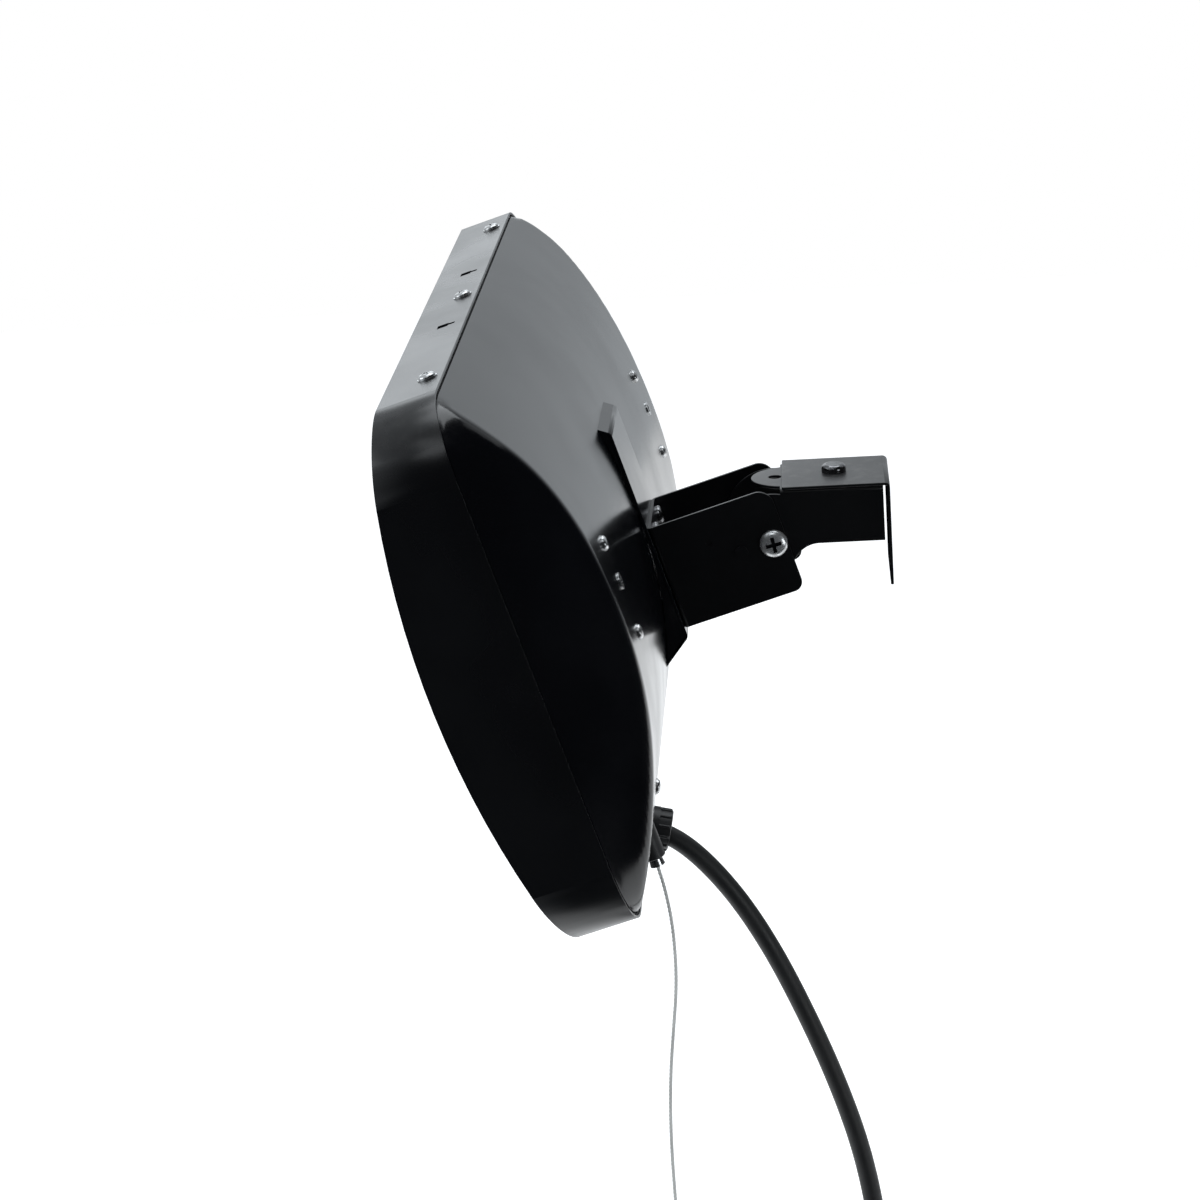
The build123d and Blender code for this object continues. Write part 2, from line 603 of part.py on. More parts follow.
def front_band():
    """The rim: a rounded band whose front edge is bowed, with a lip turned inwards."""
    reach = BAND_DEPTH + 2 * FRONT_BOW
    band = front_prism(head_outline(0), 0, reach) & behind_front(0, 0)
    inside = front_prism(head_outline(BAND_SHEET), BAND_SHEET, 2 * reach)
    band -= inside & behind_front(BAND_SHEET, BAND_SHEET)
    return band - front_prism(head_outline(LIP_WIDTH), BAND_SHEET, 2 * reach) - rim_openings()


def band_screws():
    """Three pan screws along the top of the band and three along its bottom."""
    half = HEAD_HEIGHT / 2
    length = BAND_SHEET + SHELL_GAP + SHELL_SHEET + SCREW_HEAD_RADIUS
    screw = pan_screw(SCREW_HEAD_RADIUS, SCREW_HEAD_HEIGHT, SCREW_RADIUS, length)
    screws = []
    for x in (-BAND_SCREW_SPACING, 0, BAND_SCREW_SPACING):
        screws.append(Pos(x, -BAND_SCREW_FROM_SEAM, half) * screw)
        screws.append(Pos(x, -BAND_SCREW_FROM_SEAM, -half) * Rot(180, 0, 0) * screw)
    return screws


def slope_place(x, height):
    """A place on the shell's outer face, its Z axis along the face's outward normal."""
    rise = shell_depth(height + SLOPE_STEP) - shell_depth(height - SLOPE_STEP)
    angle = math.degrees(math.atan2(-rise, 2 * SLOPE_STEP))
    return Pos(x, shell_depth(height), height) * Rot(-90 + angle, 0, 0)


def back_shell(form, inner_form):
    """The pressed shell behind the seam, with its skirt inside the band."""
    shell = form - inner_form - rim_openings()
    drill = z_cylinder(SCREW_RADIUS + HOLE_GAP, -DRILL_DEPTH, SHELL_SHEET)
    rivet_drill = z_cylinder(RIVET_RADIUS + HOLE_GAP, -DRILL_DEPTH, SHELL_SHEET)
    for x in (-SHELL_SCREW_X, SHELL_SCREW_X):
        for height in SHELL_SCREW_HEIGHTS:
            shell -= slope_place(x, height) * drill
        shell -= slope_place(x, RIVET_HEIGHT) * rivet_drill
    nut_hole = BRACKET_NUT_WIDTH / math.sqrt(3) + BRACKET_NUT_GAP
    for x, z in bracket_screw_places():
        shell -= Pos(x, 0, z) * y_cylinder(nut_hole, CROWN_DEPTH / 2, 2 * CROWN_DEPTH)
    gland_drill = z_cylinder(GLAND_HOLE_RADIUS, -DRILL_DEPTH, DRILL_DEPTH)
    shell -= slope_place(GLAND_X, GLAND_HEIGHT) * gland_drill
    collar_hole = z_cylinder(COLLAR_RADIUS + HOLE_GAP, -HEAD_HEIGHT, SWITCH_BOTTOM)
    return shell - Pos(PULL_X, PULL_Y, 0) * collar_hole


def shell_fasteners(inner_form):
    """Pan screws and washers on the back of the shell, nuts for the lowest, and hollow rivets."""
    screws, rings, nuts, rivets = [], [], [], []
    lift = Pos(0, 0, SEAT_LIFT)
    top = SCREW_WASHER_THICKNESS
    ring = washer(SCREW_WASHER_RADIUS, SCREW_RADIUS + HOLE_GAP, top)
    nut = hex_nut(SHELL_NUT_WIDTH, 2 * SHELL_NUT_HEIGHT, SCREW_RADIUS)
    nut = Pos(0, 0, -SHELL_SHEET - SHELL_NUT_HEIGHT) * nut
    flange = extrude(Circle(RIVET_HEAD_RADIUS) - Circle(RIVET_BORE), RIVET_HEAD)
    tube = extrude(Circle(RIVET_RADIUS) - Circle(RIVET_BORE), -RIVET_LENGTH)
    for x in (-SHELL_SCREW_X, SHELL_SCREW_X):
        for height, length in zip(SHELL_SCREW_HEIGHTS, SHELL_SCREW_LENGTHS):
            place = slope_place(x, height) * lift
            screw = pan_screw(SCREW_HEAD_RADIUS, SCREW_HEAD_HEIGHT, SCREW_RADIUS, length)
            screws.append(place * (Pos(0, 0, top) * screw))
            rings.append(place * ring)
        nuts.append((slope_place(x, SHELL_SCREW_HEIGHTS[-1]) * nut) & inner_form)
        rivets.append(slope_place(x, RIVET_HEIGHT) * (lift * (flange + tube)))
    return screws, rings, nuts, rivets


def trough_heights():
    """The heights of the lamps and their troughs."""
    count = len(LAMP_NAMES)
    return [TROUGH_PITCH * (i - (count - 1) / 2) for i in range(count)]


def trough(extra):
    """The hollow of one trough, as a solid, grown by extra on its back and ends."""
    mouth = -REFLECTOR_FRONT
    half = TROUGH_HALF_WIDTH + extra
    arc = ThreePointArc((mouth, half), (mouth + TROUGH_DEPTH + extra, 0), (mouth, -half))
    face = make_face([arc, Line((mouth, -half), (mouth, half))])
    return yz_prism(face, TROUGH_LENGTH / 2 + extra)


def reflector():
    """A polished tray: a front plate with three troughs and a rim turned back."""
    inset = BAND_SHEET + RIM_CLEARANCE
    outer = front_prism(head_outline(inset), -REFLECTOR_FRONT + REFLECTOR_RIM, REFLECTOR_RIM)
    hollow = front_prism(head_outline(inset + REFLECTOR_SHEET), 0, REFLECTOR_FRONT - REFLECTOR_SHEET)
    tray = outer - hollow
    for height in trough_heights():
        tray += Pos(0, 0, height) * trough(REFLECTOR_SHEET)
    reach = TROUGH_LENGTH / 2 + CAP_OVERLAP
    end_holes = x_cylinder(LAMP_RADIUS + LAMP_HOLE_GAP, -reach, reach)
    for height in trough_heights():
        tray -= Pos(0, 0, height) * trough(0)
        tray -= Pos(0, -LAMP_FORWARD, height) * end_holes
    return tray - rim_openings()


def lamp(height):
    """One quartz tube, open at its ends."""
    tube = x_cylinder(LAMP_RADIUS, -LAMP_LENGTH / 2, LAMP_LENGTH / 2)
    tube -= x_cylinder(LAMP_RADIUS - LAMP_WALL, -LAMP_LENGTH, LAMP_LENGTH)
    return Pos(0, -LAMP_FORWARD, height) * tube


def heating_coils():
    """The wound wires inside the tubes, as closed rods of their outer size."""
    coil = x_cylinder(HEATER_COIL_RADIUS, -HEATER_COIL_LENGTH / 2, HEATER_COIL_LENGTH / 2)
    coil += x_cylinder(HEATER_LEAD_RADIUS, -LAMP_LENGTH / 2, LAMP_LENGTH / 2)
    return [Pos(0, -LAMP_FORWARD, height) * coil for height in trough_heights()]


def lamp_caps():
    """Ceramic caps on both ends of each tube."""
    caps = []
    start = LAMP_LENGTH / 2 - CAP_OVERLAP
    cap = x_cylinder(CAP_RADIUS, start, start + CAP_LENGTH)
    cap = fillet(cap.edges().group_by(Axis.X)[-1], CAP_ROUND)
    cap -= x_cylinder(LAMP_RADIUS, start, LAMP_LENGTH / 2)
    for height in trough_heights():
        for turn in (0, 180):
            caps.append(Pos(0, -LAMP_FORWARD, height) * Rot(0, 0, turn) * cap)
    return caps


def lamp_holders():
    """A plate at each end behind the reflector, with a foot on it and a seat for each cap."""
    front = -REFLECTOR_FRONT + REFLECTOR_SHEET
    half = HOLDER_HEIGHT / 2
    inner, outer = HOLDER_X, HOLDER_X + HOLDER_SHEET
    holder = block(inner, outer, front, front + HOLDER_DEPTH, -half, half)
    holder += block(outer, outer + HOLDER_FOOT, front, front + HOLDER_SHEET, -half, half)
    seat = x_cylinder(CAP_RADIUS + HOLE_GAP, HOLDER_X - CAP_OVERLAP, HOLDER_X + 2 * HOLDER_FOOT)
    for height in trough_heights():
        holder -= Pos(0, -LAMP_FORWARD, height) * seat
    return [holder, Rot(0, 180, 0) * holder]


def guard_point(x, height):
    """A point on the guard's bowed surface."""
    return Vector(x, bow_y(height, GUARD_BEHIND_FRONT), height)


def rod_along(line, radius):
    """A round rod along an arc."""
    return sweep(Plane(line @ 0, z_dir=line % 0) * Circle(radius), line)


def upright(x, half_height, radius):
    """A bowed rod from bottom to top of the guard."""
    line = Plane.YZ * bowed_line(half_height, GUARD_BEHIND_FRONT)
    return Pos(x, 0, 0) * rod_along(line, radius)


def guard_rim():
    """The guard's outer rod: level runs, bowed sides and round corners."""
    straight_x = GUARD_HALF_WIDTH - GUARD_CORNER
    straight_z = GUARD_HALF_HEIGHT - GUARD_CORNER
    lean = GUARD_CORNER * math.sqrt(0.5)
    rim = upright(GUARD_HALF_WIDTH, straight_z, GUARD_RIM_RADIUS)
    rim += upright(-GUARD_HALF_WIDTH, straight_z, GUARD_RIM_RADIUS)
    for up in (-1, 1):
        level = Pos(0, bow_y(GUARD_HALF_HEIGHT, GUARD_BEHIND_FRONT), up * GUARD_HALF_HEIGHT)
        rim += level * x_cylinder(GUARD_RIM_RADIUS, -straight_x, straight_x)
        for out in (-1, 1):
            low = guard_point(out * GUARD_HALF_WIDTH, up * straight_z)
            middle = guard_point(out * (straight_x + lean), up * (straight_z + lean))
            high = guard_point(out * straight_x, up * GUARD_HALF_HEIGHT)
            rim += rod_along(ThreePointArc(low, middle, high), GUARD_RIM_RADIUS)
            for end in (low, high):
                rim += Pos(*end) * Sphere(GUARD_RIM_RADIUS)
    return rim


def front_guard():
    """Bowed upright wires on a round-cornered rim, with level rods behind them, welded together."""
    guard = guard_rim()
    for height in trough_heights():
        place = Pos(0, bow_y(height, GUARD_BEHIND_FRONT + GUARD_ROD_SETBACK), height)
        guard += place * x_cylinder(GUARD_ROD_RADIUS, -GUARD_HALF_WIDTH, GUARD_HALF_WIDTH)
    straight_x = GUARD_HALF_WIDTH - GUARD_CORNER
    for i in range(GUARD_COUNT):
        x = GUARD_END_WIRE_X * (2 * i / (GUARD_COUNT - 1) - 1)
        past = max(abs(x) - straight_x, 0)
        drop = GUARD_CORNER - math.sqrt(GUARD_CORNER ** 2 - past ** 2)
        guard += upright(x, GUARD_HALF_HEIGHT - drop, GUARD_WIRE_RADIUS)
    return guard


# Inside the back shell, in the head's own frame

def heat_shield():
    """A flat sheet behind the lamps that keeps their heat off the wiring."""
    half = SHIELD_WIDTH / 2
    return block(-half, half, SHIELD_Y, SHIELD_Y + SHIELD_SHEET, SHIELD_BOTTOM, SHIELD_TOP)


def shield_spacers(inner_form):
    """Threaded posts between the shield and the shell's upper screws."""
    posts = []
    back = SHIELD_Y + SHIELD_SHEET
    space = block(-HEAD_WIDTH, HEAD_WIDTH, back, 2 * CROWN_DEPTH, -HEAD_HEIGHT, HEAD_HEIGHT)
    room = inner_form & space
    post = z_cylinder(SPACER_RADIUS, -2 * CROWN_DEPTH, 0)
    post -= z_cylinder(SCREW_RADIUS, -SHELL_SCREW_LENGTHS[0], 0)
    for x in (-SHELL_SCREW_X, SHELL_SCREW_X):
        for height in SPACED_HEIGHTS:
            posts.append((slope_place(x, height) * post) & room)
    return posts


def terminal_block():
    """The block that joins the power cord to the wiring, with a screw in each pole."""
    width, height, depth = TERMINAL_SIZE
    front = SHIELD_Y + SHIELD_SHEET
    x0, z0 = TERMINAL_X - width / 2, TERMINAL_HEIGHT - height / 2
    body = block(x0, x0 + width, front, front + depth, z0, z0 + height)
    body = chamfer(body.edges().group_by(Axis.Y)[-1], TERMINAL_EDGE)
    back = front + depth
    pole = y_cylinder(POLE_RADIUS, back - POLE_DEPTH, back)
    screw = y_cylinder(TERMINAL_SCREW_RADIUS, 0, TERMINAL_SCREW_HEIGHT)
    slot = Box(2 * POLE_RADIUS, 2 * TERMINAL_SLOT_DEPTH, TERMINAL_SLOT_WIDTH)
    screw -= Pos(0, TERMINAL_SCREW_HEIGHT, 0) * slot
    screws = []
    for x in pole_places():
        body -= Pos(x, 0, TERMINAL_HEIGHT) * pole
        screws.append(Pos(x, back - POLE_DEPTH, TERMINAL_HEIGHT) * screw)
    return body, screws


def pole_places():
    """Where the three poles of the terminal block sit across the head."""
    return [TERMINAL_X + POLE_PITCH * i for i in (-1, 0, 1)]


def wire_along(points):
    """A thin insulated wire along straight runs with small bends."""
    path = FilletPolyline(*points, radius=WIRE_BEND)
    return sweep(Plane(path @ 0, z_dir=path % 0) * Circle(WIRE_RADIUS), path)


def moved(route, start):
    """A route's points, carried to where it starts."""
    x, y, z = start
    return [(x + dx, y + dy, z + dz) for dx, dy, dz in route]


def wiring(cord_end):
    """The cord's cores, the switch and return wires, and the bars that join the lamps."""
    wires = []
    low = TERMINAL_HEIGHT - TERMINAL_SIZE[1] / 2
    x, y, z = cord_end
    for offset, pole in zip(CORE_OFFSETS, pole_places()):
        points = moved(CORE_START, (x + offset, y, z)) + moved(CORE_FINISH, (pole, 0, low))
        wires.append(wire_along(points))
    switch_top = (PULL_X, 0, SWITCH_TOP)
    terminal = (TERMINAL_X, 0, TERMINAL_HEIGHT)
    wires.append(wire_along(moved(SWITCH_WIRE_START, switch_top) + moved(SWITCH_WIRE_FINISH, terminal)))
    live = moved(LIVE_WIRE_START, switch_top) + moved(LIVE_WIRE_FINISH, (BUS_X, 0, SWITCH_TOP))
    back = moved(RETURN_WIRE_START, (-BUS_X, 0, 0)) + moved(RETURN_WIRE_FINISH, terminal)
    heights = trough_heights()
    cap_end = LAMP_LENGTH / 2 - CAP_OVERLAP + CAP_LENGTH
    for side, route in ((-1, back), (1, live)):
        bar = z_cylinder(BUS_RADIUS, heights[0] - CAP_RADIUS, heights[-1] + CAP_RADIUS)
        bar = Pos(side * BUS_X, -LAMP_FORWARD, 0) * bar
        for height in heights:
            stub = x_cylinder(WIRE_RADIUS, side * cap_end, side * BUS_X)
            bar += Pos(0, -LAMP_FORWARD, height) * stub
        wires.append(bar + wire_along(route))
    return wires


# Cable gland, in the head's own frame

def gland_parts(form, inner_form):
    """The gland's body, seated on the slope, its ribbed cap and the nut inside, all still solid."""
    place = slope_place(GLAND_X, GLAND_HEIGHT)
    flange_top = GLAND_FLANGE_THICKNESS
    flange = place * z_cylinder(GLAND_FLANGE_RADIUS, -SHELL_SHEET, flange_top) - form
    body = flange + place * z_cylinder(GLAND_THREAD_RADIUS, -GLAND_INSIDE, flange_top)
    cap = z_cylinder(GLAND_CAP_RADIUS, 0, GLAND_CAP_LENGTH)
    for i in range(GLAND_RIBS):
        rib = Pos(GLAND_CAP_RADIUS, 0, 0) * z_cylinder(GLAND_RIB_RADIUS, 0, GLAND_CAP_LENGTH)
        cap += Rot(0, 0, 360 / GLAND_RIBS * i) * rib
    dome = z_cylinder(GLAND_FLANGE_RADIUS, 0, GLAND_CAP_LENGTH)
    dome = fillet(dome.edges().group_by(Axis.Z)[-1], GLAND_CAP_ROUND)
    mouth = Cone(CORD_RADIUS / 2, GLAND_MOUTH, GLAND_CAP_LENGTH)
    cap = (cap & dome) - Pos(0, 0, GLAND_CAP_LENGTH / 2) * mouth
    cap = place * (Pos(0, 0, flange_top) * cap)
    nut = hex_nut(LOCKNUT_WIDTH, 2 * LOCKNUT_THICKNESS, GLAND_THREAD_RADIUS)
    nut = (place * (Pos(0, 0, -SHELL_SHEET - LOCKNUT_THICKNESS) * nut)) & inner_form
    return body, cap, nut


# Pull switch, in the head's own frame

def pull_switch_parts():
    """The switch inside the shell, the collar through its slope, the bell and the plunger."""
    half = SWITCH_WIDTH / 2
    at = Pos(PULL_X, PULL_Y, 0)
    body = block(PULL_X - half, PULL_X + half, SWITCH_FRONT, SWITCH_BACK, SWITCH_BOTTOM, SWITCH_TOP)
    body = chamfer(body.edges().group_by(Axis.Z)[-1], SWITCH_EDGE)
    body -= at * z_cylinder(SWITCH_CAVITY_RADIUS, SWITCH_BOTTOM, SWITCH_CAVITY_TOP)
    bore = z_cylinder(PULL_BORE, -HEAD_HEIGHT, SWITCH_BOTTOM)
    collar = z_cylinder(COLLAR_RADIUS, COLLAR_BOTTOM, SWITCH_BOTTOM)
    collar = fillet(collar.edges().group_by(Axis.Z)[0], COLLAR_ROUND)
    bell = Pos(0, 0, COLLAR_BOTTOM - BELL_LENGTH / 2) * Cone(BELL_RADIUS, BELL_TOP_RADIUS, BELL_LENGTH)
    plunger = z_cylinder(PLUNGER_RADIUS, PLUNGER_TOP - PLUNGER_HEIGHT, PLUNGER_TOP)
    plunger += z_cylinder(PLUNGER_ROD_RADIUS, PULL_START, PLUNGER_TOP - PLUNGER_HEIGHT)
    return body, at * (collar - bore), at * (bell - bore), at * plunger


# Cords, in the object's frame

def turn_radii(points):
    """The arc at each corner of a cord's route: as large as its two runs allow."""
    corners = [Vector(*point) for point in points]
    radii = []
    for before, here, after in zip(corners, corners[1:], corners[2:]):
        run_in, run_out = here - before, after - here
        shorter = min(run_in.length, run_out.length)
        turn = math.radians(run_in.get_angle(run_out))
        radii.append(CORD_RUN_SHARE * shorter / math.tan(turn / 2))
    return radii


def cord_tube(name, points, radius):
    """A cord's tube along straight runs joined by tangent arcs."""
    radii = turn_radii(points)
    path = FilletPolyline(*points, radius=radii)
    tube = sweep(Plane(path @ 0, z_dir=path % 0) * Circle(radius), path)
    share = tube.volume / (math.pi * radius ** 2 * path.length)
    print(name, "length", round(path.length, 1), "volume share", round(share, 4))
    print(name, "radii", [round(r, 1) for r in radii])
    return tube


def head_point(x, y, z):
    """A point of the head's own frame, in the object's frame."""
    return tuple((head_place() * Pos(x, y, z)).position)


def gland_axis_point(out):
    """A point on the gland's axis, at a distance outside the shell."""
    return tuple((head_place() * slope_place(GLAND_X, GLAND_HEIGHT) * Pos(0, 0, out)).position)


def collar_end():
    """The middle of the collar's lower end."""
    return head_point(PULL_X, PULL_Y, COLLAR_BOTTOM)


def tail_route():
    """The cord's tail below the coil, to inside the plug."""
    return moved(TAIL_ROUTE, gland_axis_point(0))


def coil_place():
    """The place of the coil's centre."""
    return Pos(*moved([COIL_CENTRE], gland_axis_point(0))[0])


def coil_section(grow):
    """The outline of the turns side by side and on each other, grown outwards."""
    deep = 2 * (CORD_RADIUS * COIL_TURNS_DEEP + COIL_SLACK + grow)
    wide = 2 * (CORD_RADIUS * COIL_TURNS_WIDE + COIL_SLACK + grow)
    return Pos(COIL_TURN_RADIUS, 0) * RectangleRounded(deep, wide, COIL_ROUND + grow)


def cord_coil(lead, tail):
    """The tied coil as one ring of its outer shape, with room for both of its ends."""
    ring = revolve(Plane.XY * coil_section(0), Axis.Y)
    return coil_place() * ring - lead - tail


def coil_ties():
    """Flat bands round the coil's section."""
    face = coil_section(TIE_THICKNESS) - coil_section(HOLE_GAP)
    band = revolve(Plane.XY * face, Axis.Y, TIE_ARC)
    return [coil_place() * (Rot(0, -angle, 0) * band) for angle in TIE_ANGLES]


def plug_parts():
    """A round mains plug with a tapered neck, on the end of the cord's tail."""
    before, end = [Vector(*point) for point in tail_route()[-2:]]
    at = Plane(end, x_dir=(1, 0, 0), z_dir=end - before).location * Pos(0, 0, -PLUG_CORD_DEPTH)
    neck = Pos(0, 0, PLUG_NECK_LENGTH / 2) * Cone(PLUG_NECK_RADIUS, PLUG_NECK_END_RADIUS, PLUG_NECK_LENGTH)
    shell = z_cylinder(PLUG_RADIUS, PLUG_NECK_LENGTH, PLUG_NECK_LENGTH + PLUG_LENGTH)
    shell = fillet(shell.edges().group_by(Axis.Z)[0], PLUG_ROUND)
    body = neck + shell - z_cylinder(CORD_RADIUS + HOLE_GAP, 0, PLUG_CORD_DEPTH)
    face = PLUG_NECK_LENGTH + PLUG_LENGTH
    pin = z_cylinder(PLUG_PIN_RADIUS, face, face + PLUG_PIN_LENGTH)
    pin = fillet(pin.edges().group_by(Axis.Z)[-1], PIN_ROUND)
    pins = [at * (Pos(x, 0, 0) * pin) for x in (-PLUG_PIN_SPACING / 2, PLUG_PIN_SPACING / 2)]
    return at * body, pins


def pull_knob():
    """A small turned knob round the pull cord's end."""
    end = moved(PULL_ROUTE, collar_end())[-1]
    profile = Spline((KNOB_NECK_RADIUS, 0), (KNOB_RADIUS, -KNOB_BELLY), (0, -KNOB_LENGTH))
    outline = make_face([profile, Polyline((0, -KNOB_LENGTH), (0, 0), (KNOB_NECK_RADIUS, 0))])
    return Pos(*end) * revolve(Plane.XZ * outline, Axis.Z)


def named_parts():
    """Every node of the heater, in the object's frame."""
    form, inner_form = shell_form(0), shell_form(SHELL_SHEET)
    parts = {"wall_bracket": wall_bracket(), "swivel_channel": swivel_channel()}
    parts["pan_bolt"], parts["pan_washer"], parts["pan_nut"] = pan_bolt_parts()
    parts["tilt_screws"], parts["tilt_washers"], parts["tilt_nuts"] = tilt_screw_parts()

    head = {"head_bracket": head_bracket(), "mounting_strap": mounting_strap(form)}
    head["bracket_screws"], head["bracket_nuts"] = bracket_fasteners()
    head["back_shell"] = back_shell(form, inner_form)
    fasteners = shell_fasteners(inner_form)
    head.update(zip(("shell_screws", "shell_washers", "shell_nuts", "shell_rivets"), fasteners))
    head["front_band"], head["band_screws"] = front_band(), band_screws()
    head["reflector"], head["front_guard"] = reflector(), front_guard()
    for name, height in zip(LAMP_NAMES, trough_heights()):
        head[name] = lamp(height)
    head["heating_coils"], head["lamp_caps"] = heating_coils(), lamp_caps()
    head["lamp_holders"] = lamp_holders()
    head["heat_shield"], head["shield_spacers"] = heat_shield(), shield_spacers(inner_form)
    head["terminal_block"], head["terminal_screws"] = terminal_block()
    cord_end = tuple((slope_place(GLAND_X, GLAND_HEIGHT) * Pos(0, 0, CORD_START)).position)
    head["wiring"] = wiring(cord_end)
    head["cable_gland"], head["gland_cap"], head["gland_locknut"] = gland_parts(form, inner_form)
    switch = pull_switch_parts()
    head.update(zip(("pull_switch", "pull_collar", "pull_bell", "pull_plunger"), switch))
    for name, part in head.items():
        parts[name] = placed(part, head_place())

    outlet = gland_axis_point(0)
    route = [gland_axis_point(CORD_START), outlet, *moved(CORD_ROUTE, outlet)]
    parts["power_cord"] = cord_tube("power_cord", route, CORD_RADIUS)
    parts["cable_gland"] -= parts["power_cord"]
    parts["gland_cap"] -= parts["power_cord"]
    parts["cord_tail"] = cord_tube("cord_tail", tail_route(), CORD_RADIUS)
    parts["cord_coil"] = cord_coil(parts["power_cord"], parts["cord_tail"])
    parts["coil_ties"] = coil_ties()
    parts["plug"], parts["plug_pins"] = plug_parts()
    start = [head_point(PULL_X, PULL_Y, PULL_START), head_point(PULL_X, PULL_Y, PULL_STRAIGHT_END)]
    parts["pull_cord"] = cord_tube("pull_cord", start + moved(PULL_ROUTE, collar_end()), PULL_CORD_RADIUS)
    parts["pull_knob"] = pull_knob()
    return parts


def placed(part, place):
    """One part, or each of a list of parts, moved to its place."""
    if isinstance(part, list):
        return [place * one for one in part]
    return place * part


def main():
    """Write each node as one STEP file in the folder parts."""
    os.makedirs("parts", exist_ok=True)
    for name, part in named_parts().items():
        if isinstance(part, list):
            part = Compound(children=part)
        part.label = name
        export_step(part, "parts/" + name + ".step")


main()
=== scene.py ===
import json
import math
from bisect import bisect
import bpy
import bmesh
from mathutils import Matrix, Vector


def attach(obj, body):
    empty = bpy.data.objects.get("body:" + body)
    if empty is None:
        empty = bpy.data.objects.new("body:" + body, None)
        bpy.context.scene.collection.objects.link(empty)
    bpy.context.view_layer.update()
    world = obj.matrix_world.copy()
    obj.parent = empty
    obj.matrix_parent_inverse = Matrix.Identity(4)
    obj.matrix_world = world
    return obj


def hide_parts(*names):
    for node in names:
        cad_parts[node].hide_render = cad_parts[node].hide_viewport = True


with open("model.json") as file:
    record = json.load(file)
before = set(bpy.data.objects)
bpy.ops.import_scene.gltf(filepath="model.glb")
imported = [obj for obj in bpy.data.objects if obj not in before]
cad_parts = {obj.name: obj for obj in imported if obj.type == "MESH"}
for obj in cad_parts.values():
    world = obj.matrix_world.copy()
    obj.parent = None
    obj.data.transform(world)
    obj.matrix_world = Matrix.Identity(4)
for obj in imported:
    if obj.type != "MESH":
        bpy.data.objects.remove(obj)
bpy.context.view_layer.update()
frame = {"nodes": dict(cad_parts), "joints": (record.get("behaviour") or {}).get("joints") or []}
cad = frame["nodes"]

# The camera: a long lens some 1.6 m from the heater's near end, a little above it,
# looking back along the wall and down.
CAMERA_PLACE = (1.6033, -0.0313, 0.4681)
CAMERA_RIGHT = (-0.0528, 0.9965, -0.0653)
CAMERA_UP = (-0.3025, 0.0464, 0.952)
LENS = 99
SENSOR_WIDTH = 36
NEAREST_SEEN = 0.05


def add_object(name, data):
    """Links a new object to the scene."""
    made = bpy.data.objects.new(name, data)
    bpy.context.scene.collection.objects.link(made)
    return made


camera_data = bpy.data.cameras.new("camera")
camera_data.lens = LENS
camera_data.sensor_width = SENSOR_WIDTH
camera_data.clip_start = NEAREST_SEEN
camera_right = Vector(CAMERA_RIGHT).normalized()
camera_back = camera_right.cross(Vector(CAMERA_UP).normalized()).normalized()
camera_axes = Matrix((camera_right, camera_back.cross(camera_right), camera_back)).transposed()
camera = add_object("camera", camera_data)
camera.matrix_world = Matrix.Translation(CAMERA_PLACE) @ camera_axes.to_4x4()
bpy.context.scene.camera = camera
bpy.context.scene.view_settings.view_transform = "Standard"

# The studio: a sheet of pale paper on the floor, well below the plug, in a white room. Reflections
# see a grey-white room beyond the heater and in front of it, and a dark one at its near end's side.
PAPER_Z = -0.62
PAPER_X = (-3.4, 0.38)
PAPER_Y = (-3.0, 3.0)
PAPER_COLOUR = (0.82, 0.82, 0.82, 1)
PAPER_GLOW = 0.66
DARK_SIDE = (0.62, 0.78, 0.0)
# how far a direction leans to the dark side where the room starts to darken and where it is darkest
ROOM_FADE = (-0.3, 0.38)
ROOM_LIGHT = (0.66, 0.02)
ROOM_FILL = 0.45
ROOM_TINT = (0.9, 0.955, 1.0)
WHITE = (1.0, 1.0, 1.0)
# a Mix node's sockets, two in and one out, for its two kinds of value
MIX_SOCKETS = {"FLOAT": (2, 3, 0), "RGBA": (6, 7, 2)}


def new_nodes(owner):
    """An empty node tree on a material or world, as its nodes and links."""
    owner.use_nodes = True
    owner.node_tree.nodes.clear()
    return owner.node_tree.nodes, owner.node_tree.links


def put(nodes, kind, inputs=None, **settings):
    """A node with its settings and the values on its own sockets."""
    made = nodes.new(kind)
    for name, value in settings.items():
        setattr(made, name, value)
    for name, value in (inputs or {}).items():
        made.inputs[name].default_value = value
    return made


def feed(links, socket, value):
    """Gives a socket another node's output, or else a number or colour of its own."""
    if isinstance(value, bpy.types.NodeSocket):
        links.new(value, socket)
    elif socket.type == "RGBA":
        socket.default_value = (*value, 1)
    else:
        socket.default_value = value


def calculate(nodes, links, operation, first, second, clamp=False):
    """The sum or product of two values."""
    result = put(nodes, "ShaderNodeMath", operation=operation, use_clamp=clamp)
    feed(links, result.inputs[0], first)
    feed(links, result.inputs[1], second)
    return result.outputs[0]


def blend(nodes, links, factor, first, second, kind="RGBA"):
    """A mix of two colours or, as FLOAT, of two numbers."""
    mix = put(nodes, "ShaderNodeMix", data_type=kind)
    first_socket, second_socket, result = MIX_SOCKETS[kind]
    links.new(factor, mix.inputs[0])
    feed(links, mix.inputs[first_socket], first)
    feed(links, mix.inputs[second_socket], second)
    return mix.outputs[result]


def remap(nodes, links, value, span, onto=(0.0, 1.0)):
    """A value's span mapped smoothly onto another."""
    ends = {"From Min": span[0], "From Max": span[1], "To Min": onto[0], "To Max": onto[1]}
    mapped = put(nodes, "ShaderNodeMapRange", ends, interpolation_type="SMOOTHSTEP")
    links.new(value, mapped.inputs["Value"])
    return mapped.outputs["Result"]


